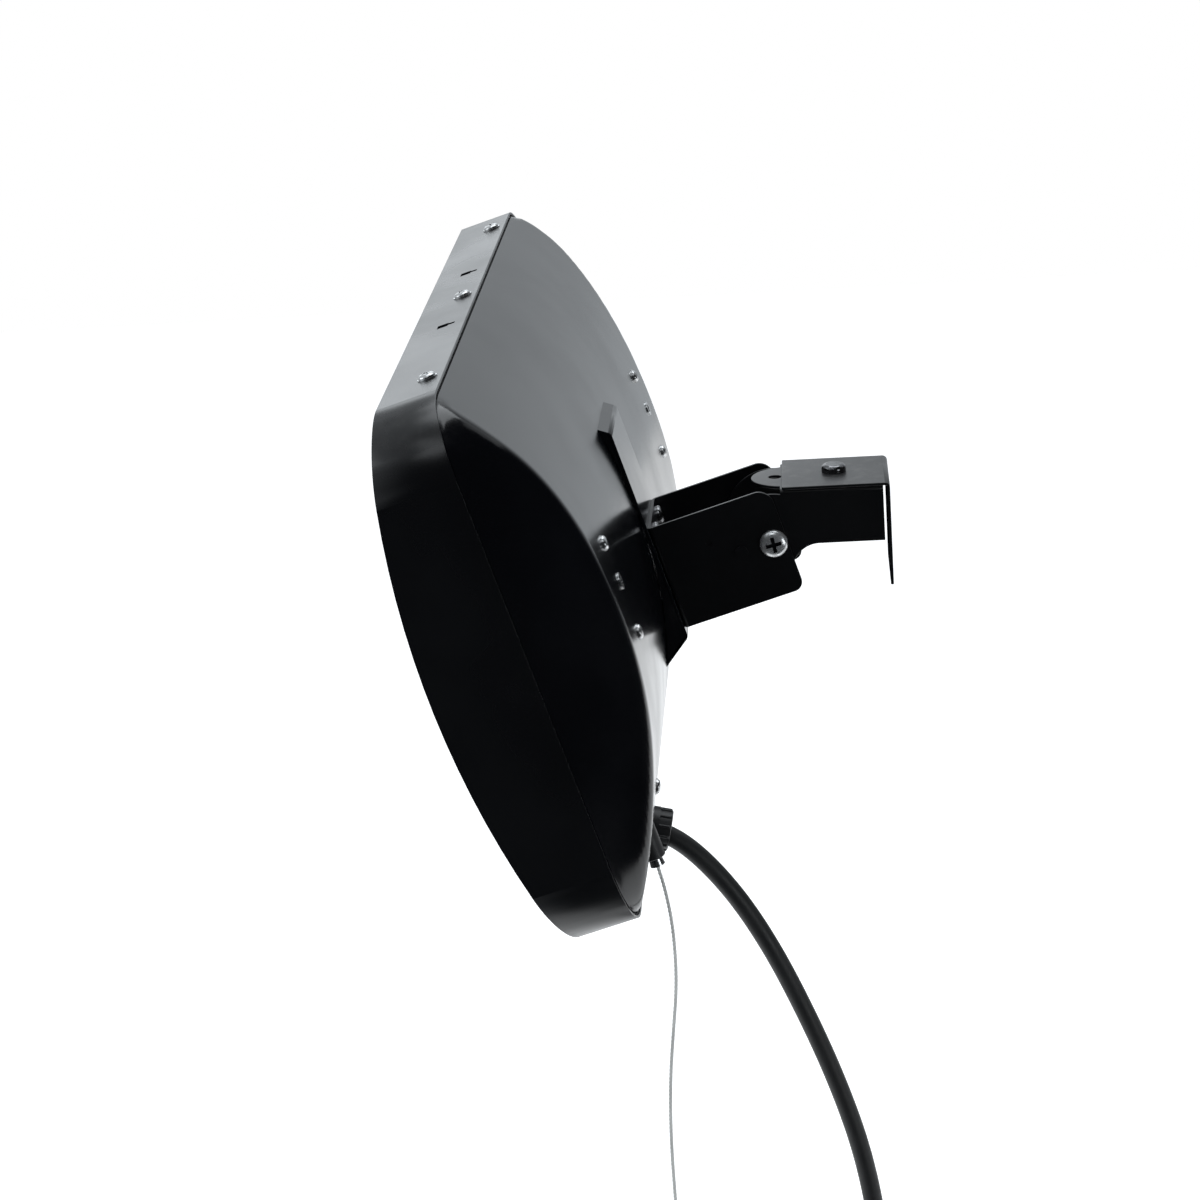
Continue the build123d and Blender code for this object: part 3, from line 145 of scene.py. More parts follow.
def leaning(nodes, links, vector, direction):
    """How much a vector leans to a direction: 1 along it, -1 against it."""
    dot = put(nodes, "ShaderNodeVectorMath", operation="DOT_PRODUCT")
    links.new(vector, dot.inputs[0])
    dot.inputs[1].default_value = direction
    return dot.outputs["Value"]


def seen_directly(nodes, links):
    """Light Path's camera, glossy and transmission rays added, and its camera rays alone."""
    rays = nodes.new("ShaderNodeLightPath").outputs
    both = calculate(nodes, links, "ADD", rays["Is Camera Ray"], rays["Is Glossy Ray"])
    seen = calculate(nodes, links, "ADD", both, rays["Is Transmission Ray"], clamp=True)
    return seen, rays["Is Camera Ray"]


paper_mesh = bpy.data.meshes.new("studio_floor")
paper_corners = [(PAPER_X[i], PAPER_Y[j], PAPER_Z) for i, j in ((0, 0), (1, 0), (1, 1), (0, 1))]
paper_mesh.from_pydata(paper_corners, [], [(0, 1, 2, 3)])
studio_floor = add_object("studio_floor", paper_mesh)
paper_material = bpy.data.materials.new("studio_paper")
nodes, links = new_nodes(paper_material)
seen, _ = seen_directly(nodes, links)
paper = put(nodes, "ShaderNodeBsdfDiffuse", {"Color": PAPER_COLOUR})
glow = put(nodes, "ShaderNodeEmission")
links.new(calculate(nodes, links, "MULTIPLY", seen, PAPER_GLOW), glow.inputs["Strength"])
lit_paper = put(nodes, "ShaderNodeAddShader")
links.new(paper.outputs[0], lit_paper.inputs[0])
links.new(glow.outputs[0], lit_paper.inputs[1])
links.new(lit_paper.outputs[0], put(nodes, "ShaderNodeOutputMaterial").inputs["Surface"])
paper_mesh.materials.append(paper_material)

world = bpy.data.worlds.new("studio")
bpy.context.scene.world = world
nodes, links = new_nodes(world)
seen, by_camera = seen_directly(nodes, links)
direction = put(nodes, "ShaderNodeTexCoord").outputs["Generated"]
room = remap(nodes, links, leaning(nodes, links, direction, DARK_SIDE), ROOM_FADE, ROOM_LIGHT)
beyond = blend(nodes, links, by_camera, room, 1.0, kind="FLOAT")
background = put(nodes, "ShaderNodeBackground")
links.new(blend(nodes, links, by_camera, ROOM_TINT, WHITE), background.inputs["Color"])
links.new(blend(nodes, links, seen, ROOM_FILL, beyond, kind="FLOAT"), background.inputs["Strength"])
links.new(background.outputs[0], put(nodes, "ShaderNodeOutputWorld").inputs["Surface"])

SOFTBOX_COLOUR = (0.92, 0.965, 1.0)
SOFTBOX_TARGET = Vector((0, -0.1, 0))


def softbox(name, place, size, watts):
    """A square area lamp, slightly cool, that looks at the heater."""
    lamp = bpy.data.lights.new(name, "AREA")
    lamp.size = size
    lamp.energy = watts
    lamp.color = SOFTBOX_COLOUR
    box = add_object(name, lamp)
    box.location = place
    box.rotation_euler = (SOFTBOX_TARGET - Vector(place)).to_track_quat("-Z", "Y").to_euler()


softbox("overhead_softbox", (-0.5, 0.1, 1.9), size=1.5, watts=20)
softbox("far_softbox", (-2.2, -0.7, 0.75), size=1.3, watts=4.5)
softbox("front_softbox", (0.5, -2.0, 0.7), size=1.1, watts=9)
softbox("rear_softbox", (-1.1, 1.9, 1.7), size=1.4, watts=3)
softbox("near_softbox", (1.5, -0.3, 1.7), size=0.9, watts=4)
# low on the near end's dark side, where only domed screws and rounded edges mirror it
softbox("edge_softbox", (1.3, 1.3, -0.1), size=0.6, watts=5)

# The wall bracket: an L of 1.5 mm steel sheet, punched, folded and powder coated black. Its
# upright plate is screwed on the wall through four holes, and its flange carries the swivel.
SHEET_EDGE = 0.00035
SAME_SPOT = 0.00001
ROUNDED_ANGLE = 40
DUST = (0.36, 0.35, 0.33)
# a surface gathers dust where its normal's height passes through this span
FACING_UP = (0.3, 1.0)
# where the speckle noise thins the dust out, and what is left of it there
SPECKLE_SPAN = (0.42, 0.75)
SPECKLE_LEAVES = (0.15, 1.0)
# a noise's values lie mostly within this span
CLOUD_SPAN = (0.3, 0.7)
POWDER_IOR = 1.5
POWDER_LIGHTER = 1.35
POWDER_GLOSS_DRIFT = (-0.03, 0.04)
# painted shade: the sheen is taken off where the surface leans to the shaded side
PAINTED_SHADE_SPAN = (0.9, 0.99)
SHEEN = (0.5, 0.0)


def effect(name, inputs, outputs):
    """A shader node group with named sockets: its tree, its inputs' node and its outputs' node."""
    tree = bpy.data.node_groups.new(name, "ShaderNodeTree")
    for socket, value in inputs:
        made = tree.interface.new_socket(socket, in_out="INPUT", socket_type="NodeSocketFloat")
        made.default_value = value
    for socket in outputs:
        tree.interface.new_socket(socket, in_out="OUTPUT", socket_type="NodeSocketFloat")
    return tree, put(tree.nodes, "NodeGroupInput"), put(tree.nodes, "NodeGroupOutput")


def cloud(tree, scale, detail, roughness=0.5):
    """Noise on the object's own coordinates, its scale a number or one of the effect's inputs."""
    noise = put(tree.nodes, "ShaderNodeTexNoise", {"Detail": detail, "Roughness": roughness})
    where = put(tree.nodes, "ShaderNodeTexCoord")
    tree.links.new(where.outputs["Object"], noise.inputs["Vector"])
    feed(tree.links, noise.inputs["Scale"], scale)
    return noise.outputs["Fac"]


# orange peel of baked powder, with the slow drift in its gloss
powder_peel, peel_in, peel_out = effect(
    "powder_peel", [("Grain", 900.0), ("Drift", 14.0)], ["Height", "Patch"],
)
for scale, detail, result in (("Grain", 2.0, "Height"), ("Drift", 3.0, "Patch")):
    powder_peel.links.new(cloud(powder_peel, peel_in.outputs[scale], detail), peel_out.inputs[result])

# dust that settles on what faces up
settled_dust, dust_in, dust_out = effect("settled_dust", [("Amount", 0.1), ("Speck", 160.0)], ["Mask"])
nodes, links = settled_dust.nodes, settled_dust.links
normal = put(nodes, "ShaderNodeSeparateXYZ")
links.new(put(nodes, "ShaderNodeTexCoord").outputs["Normal"], normal.inputs[0])
upward = remap(nodes, links, normal.outputs["Z"], FACING_UP)
specks = cloud(settled_dust, dust_in.outputs["Speck"], detail=4.0, roughness=0.7)
broken = remap(nodes, links, specks, SPECKLE_SPAN, SPECKLE_LEAVES)
layer = calculate(nodes, links, "MULTIPLY", upward, broken)
lying = calculate(nodes, links, "MULTIPLY", layer, dust_in.outputs["Amount"])
links.new(lying, dust_out.inputs["Mask"])


def new_finish(name, values):
    """A material with one Principled shader: the material, its nodes, links and shader."""
    material = bpy.data.materials.new(name)
    nodes, links = new_nodes(material)
    shader = put(nodes, "ShaderNodeBsdfPrincipled", values)
    links.new(shader.outputs[0], put(nodes, "ShaderNodeOutputMaterial").inputs["Surface"])
    return material, nodes, links, shader


def place(nodes, tree, values):
    """A shared effect in a material, with that material's own values."""
    made = nodes.new("ShaderNodeGroup")
    made.node_tree = tree
    for name, value in values.items():
        made.inputs[name].default_value = value
    return made.outputs


def drifting(nodes, links, patch, span, first, second):
    """A colour that drifts from one to another as a cloudy value goes through its span."""
    return blend(nodes, links, remap(nodes, links, patch, span), first, second)


def drift_gloss(nodes, links, shader, patch, span, roughness):
    """Lets the shader's roughness drift between two values in the same way."""
    links.new(remap(nodes, links, patch, span, roughness), shader.inputs["Roughness"])


def around(gloss, drift):
    """The two ends of a roughness that drifts to both sides."""
    return gloss + drift[0], gloss + drift[1]


def raise_surface(nodes, links, shader, height, distance):
    """A bump from a height, on the shader's normal."""
    bump = put(nodes, "ShaderNodeBump", {"Distance": distance, "Strength": 1.0})
    links.new(height, bump.inputs["Height"])
    links.new(bump.outputs["Normal"], shader.inputs["Normal"])


def powder_coat(name, colour, gloss, grain, peel, dust, painted_shade_side=None):
    """Baked powder paint on sheet steel, with a painted shade that takes off its sheen where it faces a
    shaded side.
    """
    material, nodes, links, shader = new_finish(name, {"IOR": POWDER_IOR})
    skin = place(nodes, powder_peel, {"Grain": grain})
    lying = place(nodes, settled_dust, {"Amount": dust})["Mask"]
    lighter = tuple(POWDER_LIGHTER * part for part in colour)
    paint = drifting(nodes, links, skin["Patch"], CLOUD_SPAN, colour, lighter)
    links.new(blend(nodes, links, lying, paint, DUST), shader.inputs["Base Color"])
    drift_gloss(nodes, links, shader, skin["Patch"], CLOUD_SPAN, around(gloss, POWDER_GLOSS_DRIFT))
    raise_surface(nodes, links, shader, skin["Height"], peel)
    # painted shade: no sheen on the faces that lean to the given side
    if painted_shade_side:
        normal = put(nodes, "ShaderNodeNewGeometry").outputs["Normal"]
        sheen = remap(nodes, links, leaning(nodes, links, normal, painted_shade_side), PAINTED_SHADE_SPAN, SHEEN)
        links.new(sheen, shader.inputs["Specular IOR Level"])
    return material


def dress(name, material):
    """Gives a CAD node its material."""
    cad[name].data.materials.clear()
    cad[name].data.materials.append(material)


def soften_edges(piece, width):
    """Small rounds on a sheet's cut edges and folds, which catch the light."""
    weld = piece.modifiers.new("weld", "WELD")
    weld.merge_threshold = SAME_SPOT
    rounds = piece.modifiers.new("edge_rounds", "BEVEL")
    rounds.width = width
    rounds.segments = 2
    rounds.limit_method = "ANGLE"
    rounds.angle_limit = math.radians(ROUNDED_ANGLE)
    rounds.harden_normals = True


BRACKET_COAT = {"colour": (0.0005, 0.0006, 0.0013), "gloss": 0.34, "grain": 1500, "peel": 0.000012}
bracket_paint = powder_coat("bracket_powder", **BRACKET_COAT, dust=0.06)
# the upright plate's front lies in the channel's shade, which is painted in by taking off its sheen
wall_powder_painted_shade = powder_coat("wall_bracket_powder_shade_painted", **BRACKET_COAT, dust=0.12, painted_shade_side=(0, -1, 0))
dress("wall_bracket", wall_powder_painted_shade)
soften_edges(cad["wall_bracket"], SHEET_EDGE)

# The pan bolt: an M6 machine screw in dark zinc plate, dropped through flange and channel, with a
# bright plain washer and hexagon nut under them. The head pans about it when the nut is slack.
PLATE_GRAIN = 2500.0
PLATE_PATCH = 260.0
PLATE_SPAN = (0.35, 0.65)
PLATE_GLOSS_DRIFT = (-0.05, 0.08)
PLATE_DEPTH = 0.000004
plating, plate_in, plate_out = effect("zinc_plating", [("Grain", PLATE_GRAIN)], ["Height", "Patch"])
plating.links.new(cloud(plating, plate_in.outputs["Grain"], detail=3.0), plate_out.inputs["Height"])
plating.links.new(cloud(plating, PLATE_PATCH, detail=2.0), plate_out.inputs["Patch"])


def plated(name, bright, dull, gloss, grain=PLATE_GRAIN, metallic=1.0):
    """Bare or plated metal whose tone and gloss drift a little."""
    material, nodes, links, shader = new_finish(name, {"Metallic": metallic})
    skin = place(nodes, plating, {"Grain": grain})
    links.new(drifting(nodes, links, skin["Patch"], PLATE_SPAN, bright, dull), shader.inputs["Base Color"])
    drift_gloss(nodes, links, shader, skin["Patch"], PLATE_SPAN, around(gloss, PLATE_GLOSS_DRIFT))
    raise_surface(nodes, links, shader, skin["Height"], PLATE_DEPTH)
    return material


zinc = plated("zinc_plate", bright=(0.66, 0.67, 0.68), dull=(0.5, 0.5, 0.5), gloss=0.24)
dark_zinc = plated("dark_zinc_plate", bright=(0.2, 0.2, 0.205), dull=(0.11, 0.11, 0.115), gloss=0.2)
dress("pan_bolt", dark_zinc)
for name in ("pan_washer", "pan_nut"):
    dress(name, zinc)

# The swivel channel: 1.5 mm sheet folded down at both sides under the flange, with a round nose
# over the tilt axis and a spare hole in it. Same black powder coat as the bracket.
dress("swivel_channel", bracket_paint)
soften_edges(cad["swivel_channel"], SHEET_EDGE)

# The tilt screws: two M6 pan-head cross-recess screws, a plain washer between each arm and cheek,
# and a nut inside the channel. Zinc plated; tightened, they hold the head at its slope.
SCREW_SIDES = 40
# degrees up the screw's dome, which is a little fuller than a round one
DOME_STEPS = range(9, 90, 9)
DOME_FULLNESS = 0.7
SHARP_SCREW_EDGE = 50
# the recess's faces: within this share of the head, and on its floor or upright
RECESS_REACH = 0.62
FLOOR_WITHIN = 0.00002
UPRIGHT_BELOW = 0.2
# painted shade: the recess's faces get a near-black plate, duller than the screw's, that stands in for the
# shade in the recess
recess_painted_shade = plated("recess_painted_shade", bright=(0.05, 0.05, 0.055), dull=(0.03, 0.03, 0.033), gloss=0.42)


def mesh_from(name, build):
    """A finished mesh from a bmesh, which is freed."""
    mesh = bpy.data.meshes.new(name)
    build.to_mesh(mesh)
    build.free()
    return mesh


def add_block(build, spot, size):
    """Adds a block about a place and its axes."""
    bmesh.ops.create_cube(build, size=1, matrix=spot @ Matrix.Diagonal((*size, 1)))


def cut_away(piece, cutters):
    """Cuts a mesh of cutters out of a piece, for good."""
    cutter = add_object("cutters", mesh_from("cutters", cutters))
    cut = piece.modifiers.new("cut", "BOOLEAN")
    cut.operation = "DIFFERENCE"
    cut.object = cutter
    cut.solver = "EXACT"
    ready = bpy.data.meshes.new_from_object(piece.evaluated_get(bpy.context.evaluated_depsgraph_get()))
    piece.modifiers.clear()
    piece.data = ready
    bpy.data.objects.remove(cutter)
    return ready


def screw_outline(head_radius, rise, skirt, shank, shank_length, washer_radius, washer):
    """Half a pan screw's section, as radii and heights from the shank's end to the dome's top."""
    line = [(shank, -shank_length), (shank, 0.0)]
    if washer:
        line += [(washer_radius, 0.0), (washer_radius, washer)]
    line += [(head_radius, washer), (head_radius, skirt)]
    for angle in map(math.radians, DOME_STEPS):
        radius = head_radius * math.cos(angle) ** DOME_FULLNESS
        line.append((radius, skirt + (rise - skirt) * math.sin(angle)))
    return line


def pan_screw(head_radius, rise, recess_width, recess_span, recess_depth, **sizes):
    """A pan-head cross-recess screw that stands on Z = 0, its recess's faces given the second material, which
    paints their shade.
    """
    turned = bmesh.new()
    rings = [
        [
            turned.verts.new(Matrix.Rotation(2 * math.pi * n / SCREW_SIDES, 3, "Z") @ Vector((radius, 0, z)))
            for n in range(SCREW_SIDES)
        ]
        for radius, z in screw_outline(head_radius, rise, **sizes)
    ]
    for lower, upper in zip(rings, rings[1:]):
        for n in range(SCREW_SIDES):
            after = (n + 1) % SCREW_SIDES
            turned.faces.new((lower[n], lower[after], upper[after], upper[n]))
    turned.faces.new(list(reversed(rings[0])))
    turned.faces.new(rings[-1])
    screw = add_object("pan_screw", mesh_from("pan_screw", turned))
    for across, along in ((recess_width, recess_span), (recess_span, recess_width)):
        arm = bmesh.new()
        add_block(arm, Matrix.Translation((0, 0, rise)), (across, along, 2 * recess_depth))
        mesh = cut_away(screw, arm)
    bpy.data.objects.remove(screw)
    # the recess's faces take the second material, the painted shade
    floor = rise - recess_depth + FLOOR_WITHIN
    for face in mesh.polygons:
        x, y, z = face.center
        inside = z > 0 and math.hypot(x, y) < RECESS_REACH * head_radius
        if inside and (z < floor or abs(face.normal.z) < UPRIGHT_BELOW):
            face.material_index = 1
    return mesh


def screw_set(name, body, screw, finish, seats, *replaced):
    """The same screw on each seat, as one piece that stands for a node."""
    together = bmesh.new()
    for seat in seats:
        before = len(together.verts)
        together.from_mesh(screw)
        together.verts.ensure_lookup_table()
        bmesh.ops.transform(together, matrix=seat, verts=together.verts[before:])
    mesh = mesh_from(name, together)
    mesh.shade_smooth()
    mesh.set_sharp_from_angle(angle=math.radians(SHARP_SCREW_EDGE))
    mesh.materials.append(finish)
    # the second material paints the shade in the cross recesses
    mesh.materials.append(recess_painted_shade)
    made = add_object(name, mesh)
    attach(made, body)
    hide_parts(*replaced)


TILT_AXIS = Vector(next(joint["pos_m"] for joint in frame["joints"] if joint["name"] == "tilt"))
ARM_OUT = 0.028
TILT_RECESS_TURN = 12
tilt_seats = [
    Matrix.Translation(TILT_AXIS + Vector((side * ARM_OUT, 0, 0)))
    @ Matrix.Rotation(side * math.pi / 2, 4, "Y") @ Matrix.Rotation(math.radians(TILT_RECESS_TURN), 4, "Z")
    for side in (-1, 1)
]
tilt_screw = pan_screw(
    head_radius=0.007, rise=0.0036, skirt=0.0009, shank=0.003, shank_length=0.011,
    washer_radius=0.0, washer=0.0, recess_width=0.0019, recess_span=0.008, recess_depth=0.0019,
)
satin_zinc = plated(
    "satin_zinc_plate", bright=(0.72, 0.73, 0.74), dull=(0.55, 0.55, 0.55), gloss=0.26, metallic=0.84,
)
screw_set("tilt_pan_screws", "swivel", tilt_screw, satin_zinc, tilt_seats, "tilt_screws")
for name in ("tilt_washers", "tilt_nuts"):
    dress(name, zinc)

# The head bracket: a U of 1.5 mm sheet, its web screwed to the strap and its two arms rounded at
# their free corners. Punched dimples and a small boss mark the arms' faces.
dress("head_bracket", bracket_paint)
soften_edges(cad["head_bracket"], SHEET_EDGE)

# The mounting strap: a bridge of 1.5 mm sheet, 56 mm wide, folded to stand over the shell's crown.
# Its sides are turned down towards the shell and trimmed to the crown's line. Glossy black.
REST_TILT = 16.6
AXIS_TO_SEAM = 0.0983
AXIS_BELOW_CENTRE = 0.0335
# the head's own place: level, and centred on the seam between band and shell
HEAD_PLACE = (
    Matrix.Translation(TILT_AXIS) @ Matrix.Rotation(math.radians(REST_TILT), 4, "X")
    @ Matrix.Translation((0, -AXIS_TO_SEAM, AXIS_BELOW_CENTRE))
)
HEAD_HEIGHT = 0.262
BAND_SHEET = 0.0012
SHELL_GAP = 0.0015
SHELL_HALF_HEIGHT = HEAD_HEIGHT / 2 - BAND_SHEET - SHELL_GAP
CROWN_DEPTH = 0.0394
# share of the shell's half height, share of its depth
CROWN_STATIONS = ((-1, 0), (-0.66, 0.58), (-0.3, 0.92), (0.08, 1.0), (0.5, 0.84), (0.77, 0.53), (1, 0))
CROWN_STEPS = 400
SETTLING_ROUNDS = 60


def end_direction(runs, points):
    """The way that the cubic through the first four points sets out, per length of run."""
    rates = points
    direction, reach = Vector((0, 0)), 1.0
    for order in (1, 2, 3):
        rates = [
            (after - before) / (runs[k + order] - runs[k])
            for k, (before, after) in enumerate(zip(rates, rates[1:]))
        ]
        direction += reach * rates[0]
        reach *= runs[0] - runs[order]
    return direction


def smooth_line(points, steps):
    """A line through points whose bend changes steadily, as many short steps."""
    runs = [0.0]
    for before, after in zip(points, points[1:]):
        runs.append(runs[-1] + (after - before).length)
    gaps = [after - before for before, after in zip(runs, runs[1:])]
    rates = [(after - before) / gap for before, after, gap in zip(points, points[1:], gaps)]
    ways = [end_direction(runs, points), *rates[1:], end_direction(runs[::-1], points[::-1])]
    for _ in range(SETTLING_ROUNDS):
        for k in range(1, len(gaps)):
            before, after = gaps[k - 1], gaps[k]
            balance = after * (3 * rates[k - 1] - ways[k - 1]) + before * (3 * rates[k] - ways[k + 1])
            ways[k] = balance / (2 * (before + after))
    line = []
    for k, gap in enumerate(gaps):
        for t in (step / steps for step in range(steps)):
            leaving = (1 + 2 * t) * points[k] + t * gap * ways[k]
            arriving = (3 - 2 * t) * points[k + 1] - (1 - t) * gap * ways[k + 1]
            line.append((1 - t) ** 2 * leaving + t * t * arriving)
    return [*line, points[-1]]


crown_points = [Vector((SHELL_HALF_HEIGHT * up, CROWN_DEPTH * deep)) for up, deep in CROWN_STATIONS]
CROWN_LINE = smooth_line(crown_points, CROWN_STEPS)
CROWN_HEIGHTS = [point.x for point in CROWN_LINE]


def crown_depth(height):
    """How deep the shell's crown is at a height."""
    k = min(max(bisect(CROWN_HEIGHTS, height), 1), len(CROWN_LINE) - 1)
    (h0, d0), (h1, d1) = CROWN_LINE[k - 1], CROWN_LINE[k]
    return d0 + (d1 - d0) * (height - h0) / (h1 - h0)


STRAP_HALF = 0.028
STRAP_SHEET = 0.0015
STRAP_EDGE = 0.0003
RETURN_STEPS = 40
RETURN_OFF_SHELL = 0.0004
LEAST_RETURN = 0.0001
STRAP_FACE_DEPTH = 0.0404
# the side returns' outer line, as height and depth: up the lower leg, along the face, down the upper leg
STRAP_LINE = ((-0.0745, 0.0268), (-0.0667, STRAP_FACE_DEPTH), (0.047, STRAP_FACE_DEPTH), (0.0485, 0.0362))


def strap_line(height):
    """The returns' outer edge at a height."""
    for (h0, d0), (h1, d1) in zip(STRAP_LINE, STRAP_LINE[1:]):
        if height <= h1:
            return d0 + (d1 - d0) * (height - h0) / (h1 - h0)
    return STRAP_LINE[-1][1]


def welded_copy(name):
    """A CAD node's sheet as a new bmesh, its faces joined along their edges."""
    sheet = bmesh.new()
    sheet.from_mesh(cad[name].data)
    bmesh.ops.remove_doubles(sheet, verts=sheet.verts, dist=SAME_SPOT)
    return sheet


def add_return(sheet, side):
    """Adds one turned-down side between the strap's outer line and the crown."""
    low, high = STRAP_LINE[0][0], STRAP_LINE[-1][0]
    rows = []
    for k in range(RETURN_STEPS + 1):
        height = low + (high - low) * k / RETURN_STEPS
        outer = strap_line(height)
        inner = min(crown_depth(height) + RETURN_OFF_SHELL, outer - LEAST_RETURN)
        rows.append([
            sheet.verts.new(HEAD_PLACE @ Vector((side * (STRAP_HALF - inset), depth, height)))
            for inset, depth in ((0, outer), (0, inner), (STRAP_SHEET, inner), (STRAP_SHEET, outer))
        ])
    for first, second in zip(rows, rows[1:]):
        for n in range(4):
            sheet.faces.new((first[n], first[(n + 1) % 4], second[(n + 1) % 4], second[n]))
    sheet.faces.new(rows[0])
    sheet.faces.new(rows[-1])


strap_sheet = welded_copy("mounting_strap")
for side in (-1, 1):
    add_return(strap_sheet, side)
bmesh.ops.recalc_face_normals(strap_sheet, faces=strap_sheet.faces)
strap = add_object("strap_with_returns", mesh_from("strap_with_returns", strap_sheet))
soften_edges(strap, STRAP_EDGE)
strap.data.materials.append(
    powder_coat("strap_powder", (0.0012, 0.0014, 0.0022), gloss=0.16, grain=1300, peel=0.00001, dust=0.03)
)
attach(strap, "head")
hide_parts("mounting_strap")

# The bracket screws: four M5 pan-head screws through web and strap, each in a nut on the strap's
# inner face. The nuts stand in clearance holes of the real shell, which the strap hides.
for name in ("bracket_screws", "bracket_nuts"):
    dress(name, dark_zinc)

# The back shell: one deep pressing of 1 mm steel sheet with a crowned back, both ends drawn down
# to the seam over a soft ridge, and a skirt that slips inside the band. Semi-gloss black.
HEAD_WIDTH = 0.474
HEAD_CORNER = 0.035
SHELL_HALF_WIDTH = HEAD_WIDTH / 2 - BAND_SHEET - SHELL_GAP
SHELL_CORNER = HEAD_CORNER - BAND_SHEET - SHELL_GAP
SHELL_SKIRT = 0.014
SHELL_SHEET = 0.001
SHELL_COLUMNS = 200
SHELL_ROWS = 112
SHARP_SHELL_EDGE = 38
# how far an end comes in for its depth
END_SLOPE = 1.05
DEEPEST_END = 0.12
END_HALVINGS = 26
# the ridge's softness, in full from this depth on and fading out towards the seam
RIDGE_BLEND = 0.0035
FULL_BLEND_DEPTH = 0.014
LEAST_BLEND = 1e-6


def end_depth(x, height):
    """How deep the drawn-down end is over a point: where its narrowing outline reaches it."""
    low, high = 0.0, DEEPEST_END
    up = max(abs(height) - SHELL_HALF_HEIGHT + SHELL_CORNER, 0)
    for _ in range(END_HALVINGS):
        depth = (low + high) / 2
        out = max(abs(x) - SHELL_HALF_WIDTH + END_SLOPE * depth + SHELL_CORNER, 0)
        if math.hypot(out, up) <= SHELL_CORNER:
            low = depth
        else:
            high = depth
    return low


def eased(share):
    """A share from 0 to 1 that sets out and arrives gently."""
    return share * share * (3 - 2 * share)


def shell_depth(x, height):
    """The shell's depth, its ridge blended softly, and less near the seam."""
    crown, end = max(crown_depth(height), 0), end_depth(x, height)
    lower = min(crown, end)
    width = max(RIDGE_BLEND * eased(min(lower / FULL_BLEND_DEPTH, 1)), LEAST_BLEND)
    overlap = max(width - abs(crown - end), 0) / width
    return lower - overlap * overlap * width / 4


def shell_edge(x):
    """The half height of the shell's outline at a place across it."""
    past = max(abs(x) - SHELL_HALF_WIDTH + SHELL_CORNER, 0)
    return SHELL_HALF_HEIGHT - SHELL_CORNER + math.sqrt(max(SHELL_CORNER ** 2 - past ** 2, 0))


shell_mesh = bpy.data.meshes.new("shell_pressing")
points, faces = [], []
for i in range(SHELL_COLUMNS + 1):
    x = SHELL_HALF_WIDTH * (2 * i / SHELL_COLUMNS - 1)
    for j in range(SHELL_ROWS + 1):
        height = shell_edge(x) * (2 * j / SHELL_ROWS - 1)
        points.append((x, shell_depth(x, height), height))
stride = SHELL_ROWS + 1
for i in range(SHELL_COLUMNS):
    for j in range(SHELL_ROWS):
        first = i * stride + j
        faces.append((first, first + 1, first + stride + 1, first + stride))
rim = (
    [i * stride for i in range(SHELL_COLUMNS + 1)]
    + [SHELL_COLUMNS * stride + j for j in range(1, stride)]
    + [i * stride + SHELL_ROWS for i in range(SHELL_COLUMNS - 1, -1, -1)]
    + list(range(SHELL_ROWS - 1, 0, -1))
)
skirt_start = len(points)
points += [(points[k][0], -SHELL_SKIRT, points[k][2]) for k in rim]
for n, k in enumerate(rim):
    after = (n + 1) % len(rim)
    faces.append((k, rim[after], skirt_start + after, skirt_start + n))
shell_mesh.from_pydata([HEAD_PLACE @ Vector(point) for point in points], [], faces)
sheet = bmesh.new()
sheet.from_mesh(shell_mesh)
bmesh.ops.recalc_face_normals(sheet, faces=sheet.faces)
sheet.faces.ensure_lookup_table()
if sheet.faces[SHELL_COLUMNS * SHELL_ROWS // 2].normal.y < 0:
    bmesh.ops.reverse_faces(sheet, faces=sheet.faces)
sheet.to_mesh(shell_mesh)
sheet.free()
shell_pressing = add_object("shell_pressing", shell_mesh)
thickness = shell_pressing.modifiers.new("thickness", "SOLIDIFY")
thickness.thickness = SHELL_SHEET
thickness.offset = -1

# what is cut through it: two slots through skirt and band, and the holes of the two rivets, the
# cable gland and the switch's collar
SLOT_X = 0.0605
SLOT_FROM_SEAM = 0.0118
SLOT_ACROSS = 0.0066
SLOT_DEEP = 0.0055
SKIRT_CUT_HEIGHT = 0.127
SKIRT_CUT_REACH = 0.008
SHELL_SCREW_X = 0.16
RIVET_HEIGHT = 0.01
RIVET_HOLE = 0.003
GLAND_X = 0.148
GLAND_HEIGHT = -0.1128
GLAND_HOLE = 0.0081
COLLAR_PLACE = (0.17, 0.0095, -0.112)
COLLAR_HOLE = 0.0055
HOLE_REACH = 0.02
COLLAR_REACH = 0.03
HOLE_SIDES = 36
SLOPE_STEP = 0.0005


def on_slope(x, height):
    """A place on the shell's face, its Z axis straight out of the sheet."""
    rise = (crown_depth(height + SLOPE_STEP) - crown_depth(height - SLOPE_STEP)) / (2 * SLOPE_STEP)
    outward = Matrix.Rotation(-math.pi / 2 - math.atan(rise), 4, "X")
    return HEAD_PLACE @ Matrix.Translation((x, crown_depth(height), height)) @ outward


def add_slots(cutters, height, reach):
    """Adds the two slots' cutters at a height on the head."""
    for x in (-SLOT_X, SLOT_X):
        spot = HEAD_PLACE @ Matrix.Translation((x, -SLOT_FROM_SEAM, height))
        add_block(cutters, spot, (SLOT_ACROSS, SLOT_DEEP, reach))


def add_hole(cutters, spot, radius, reach):
    """Adds a round hole's cutter about a place's Z axis."""
    bmesh.ops.create_cone(
        cutters, cap_ends=True, segments=HOLE_SIDES, radius1=radius, radius2=radius, depth=reach, matrix=spot,
    )


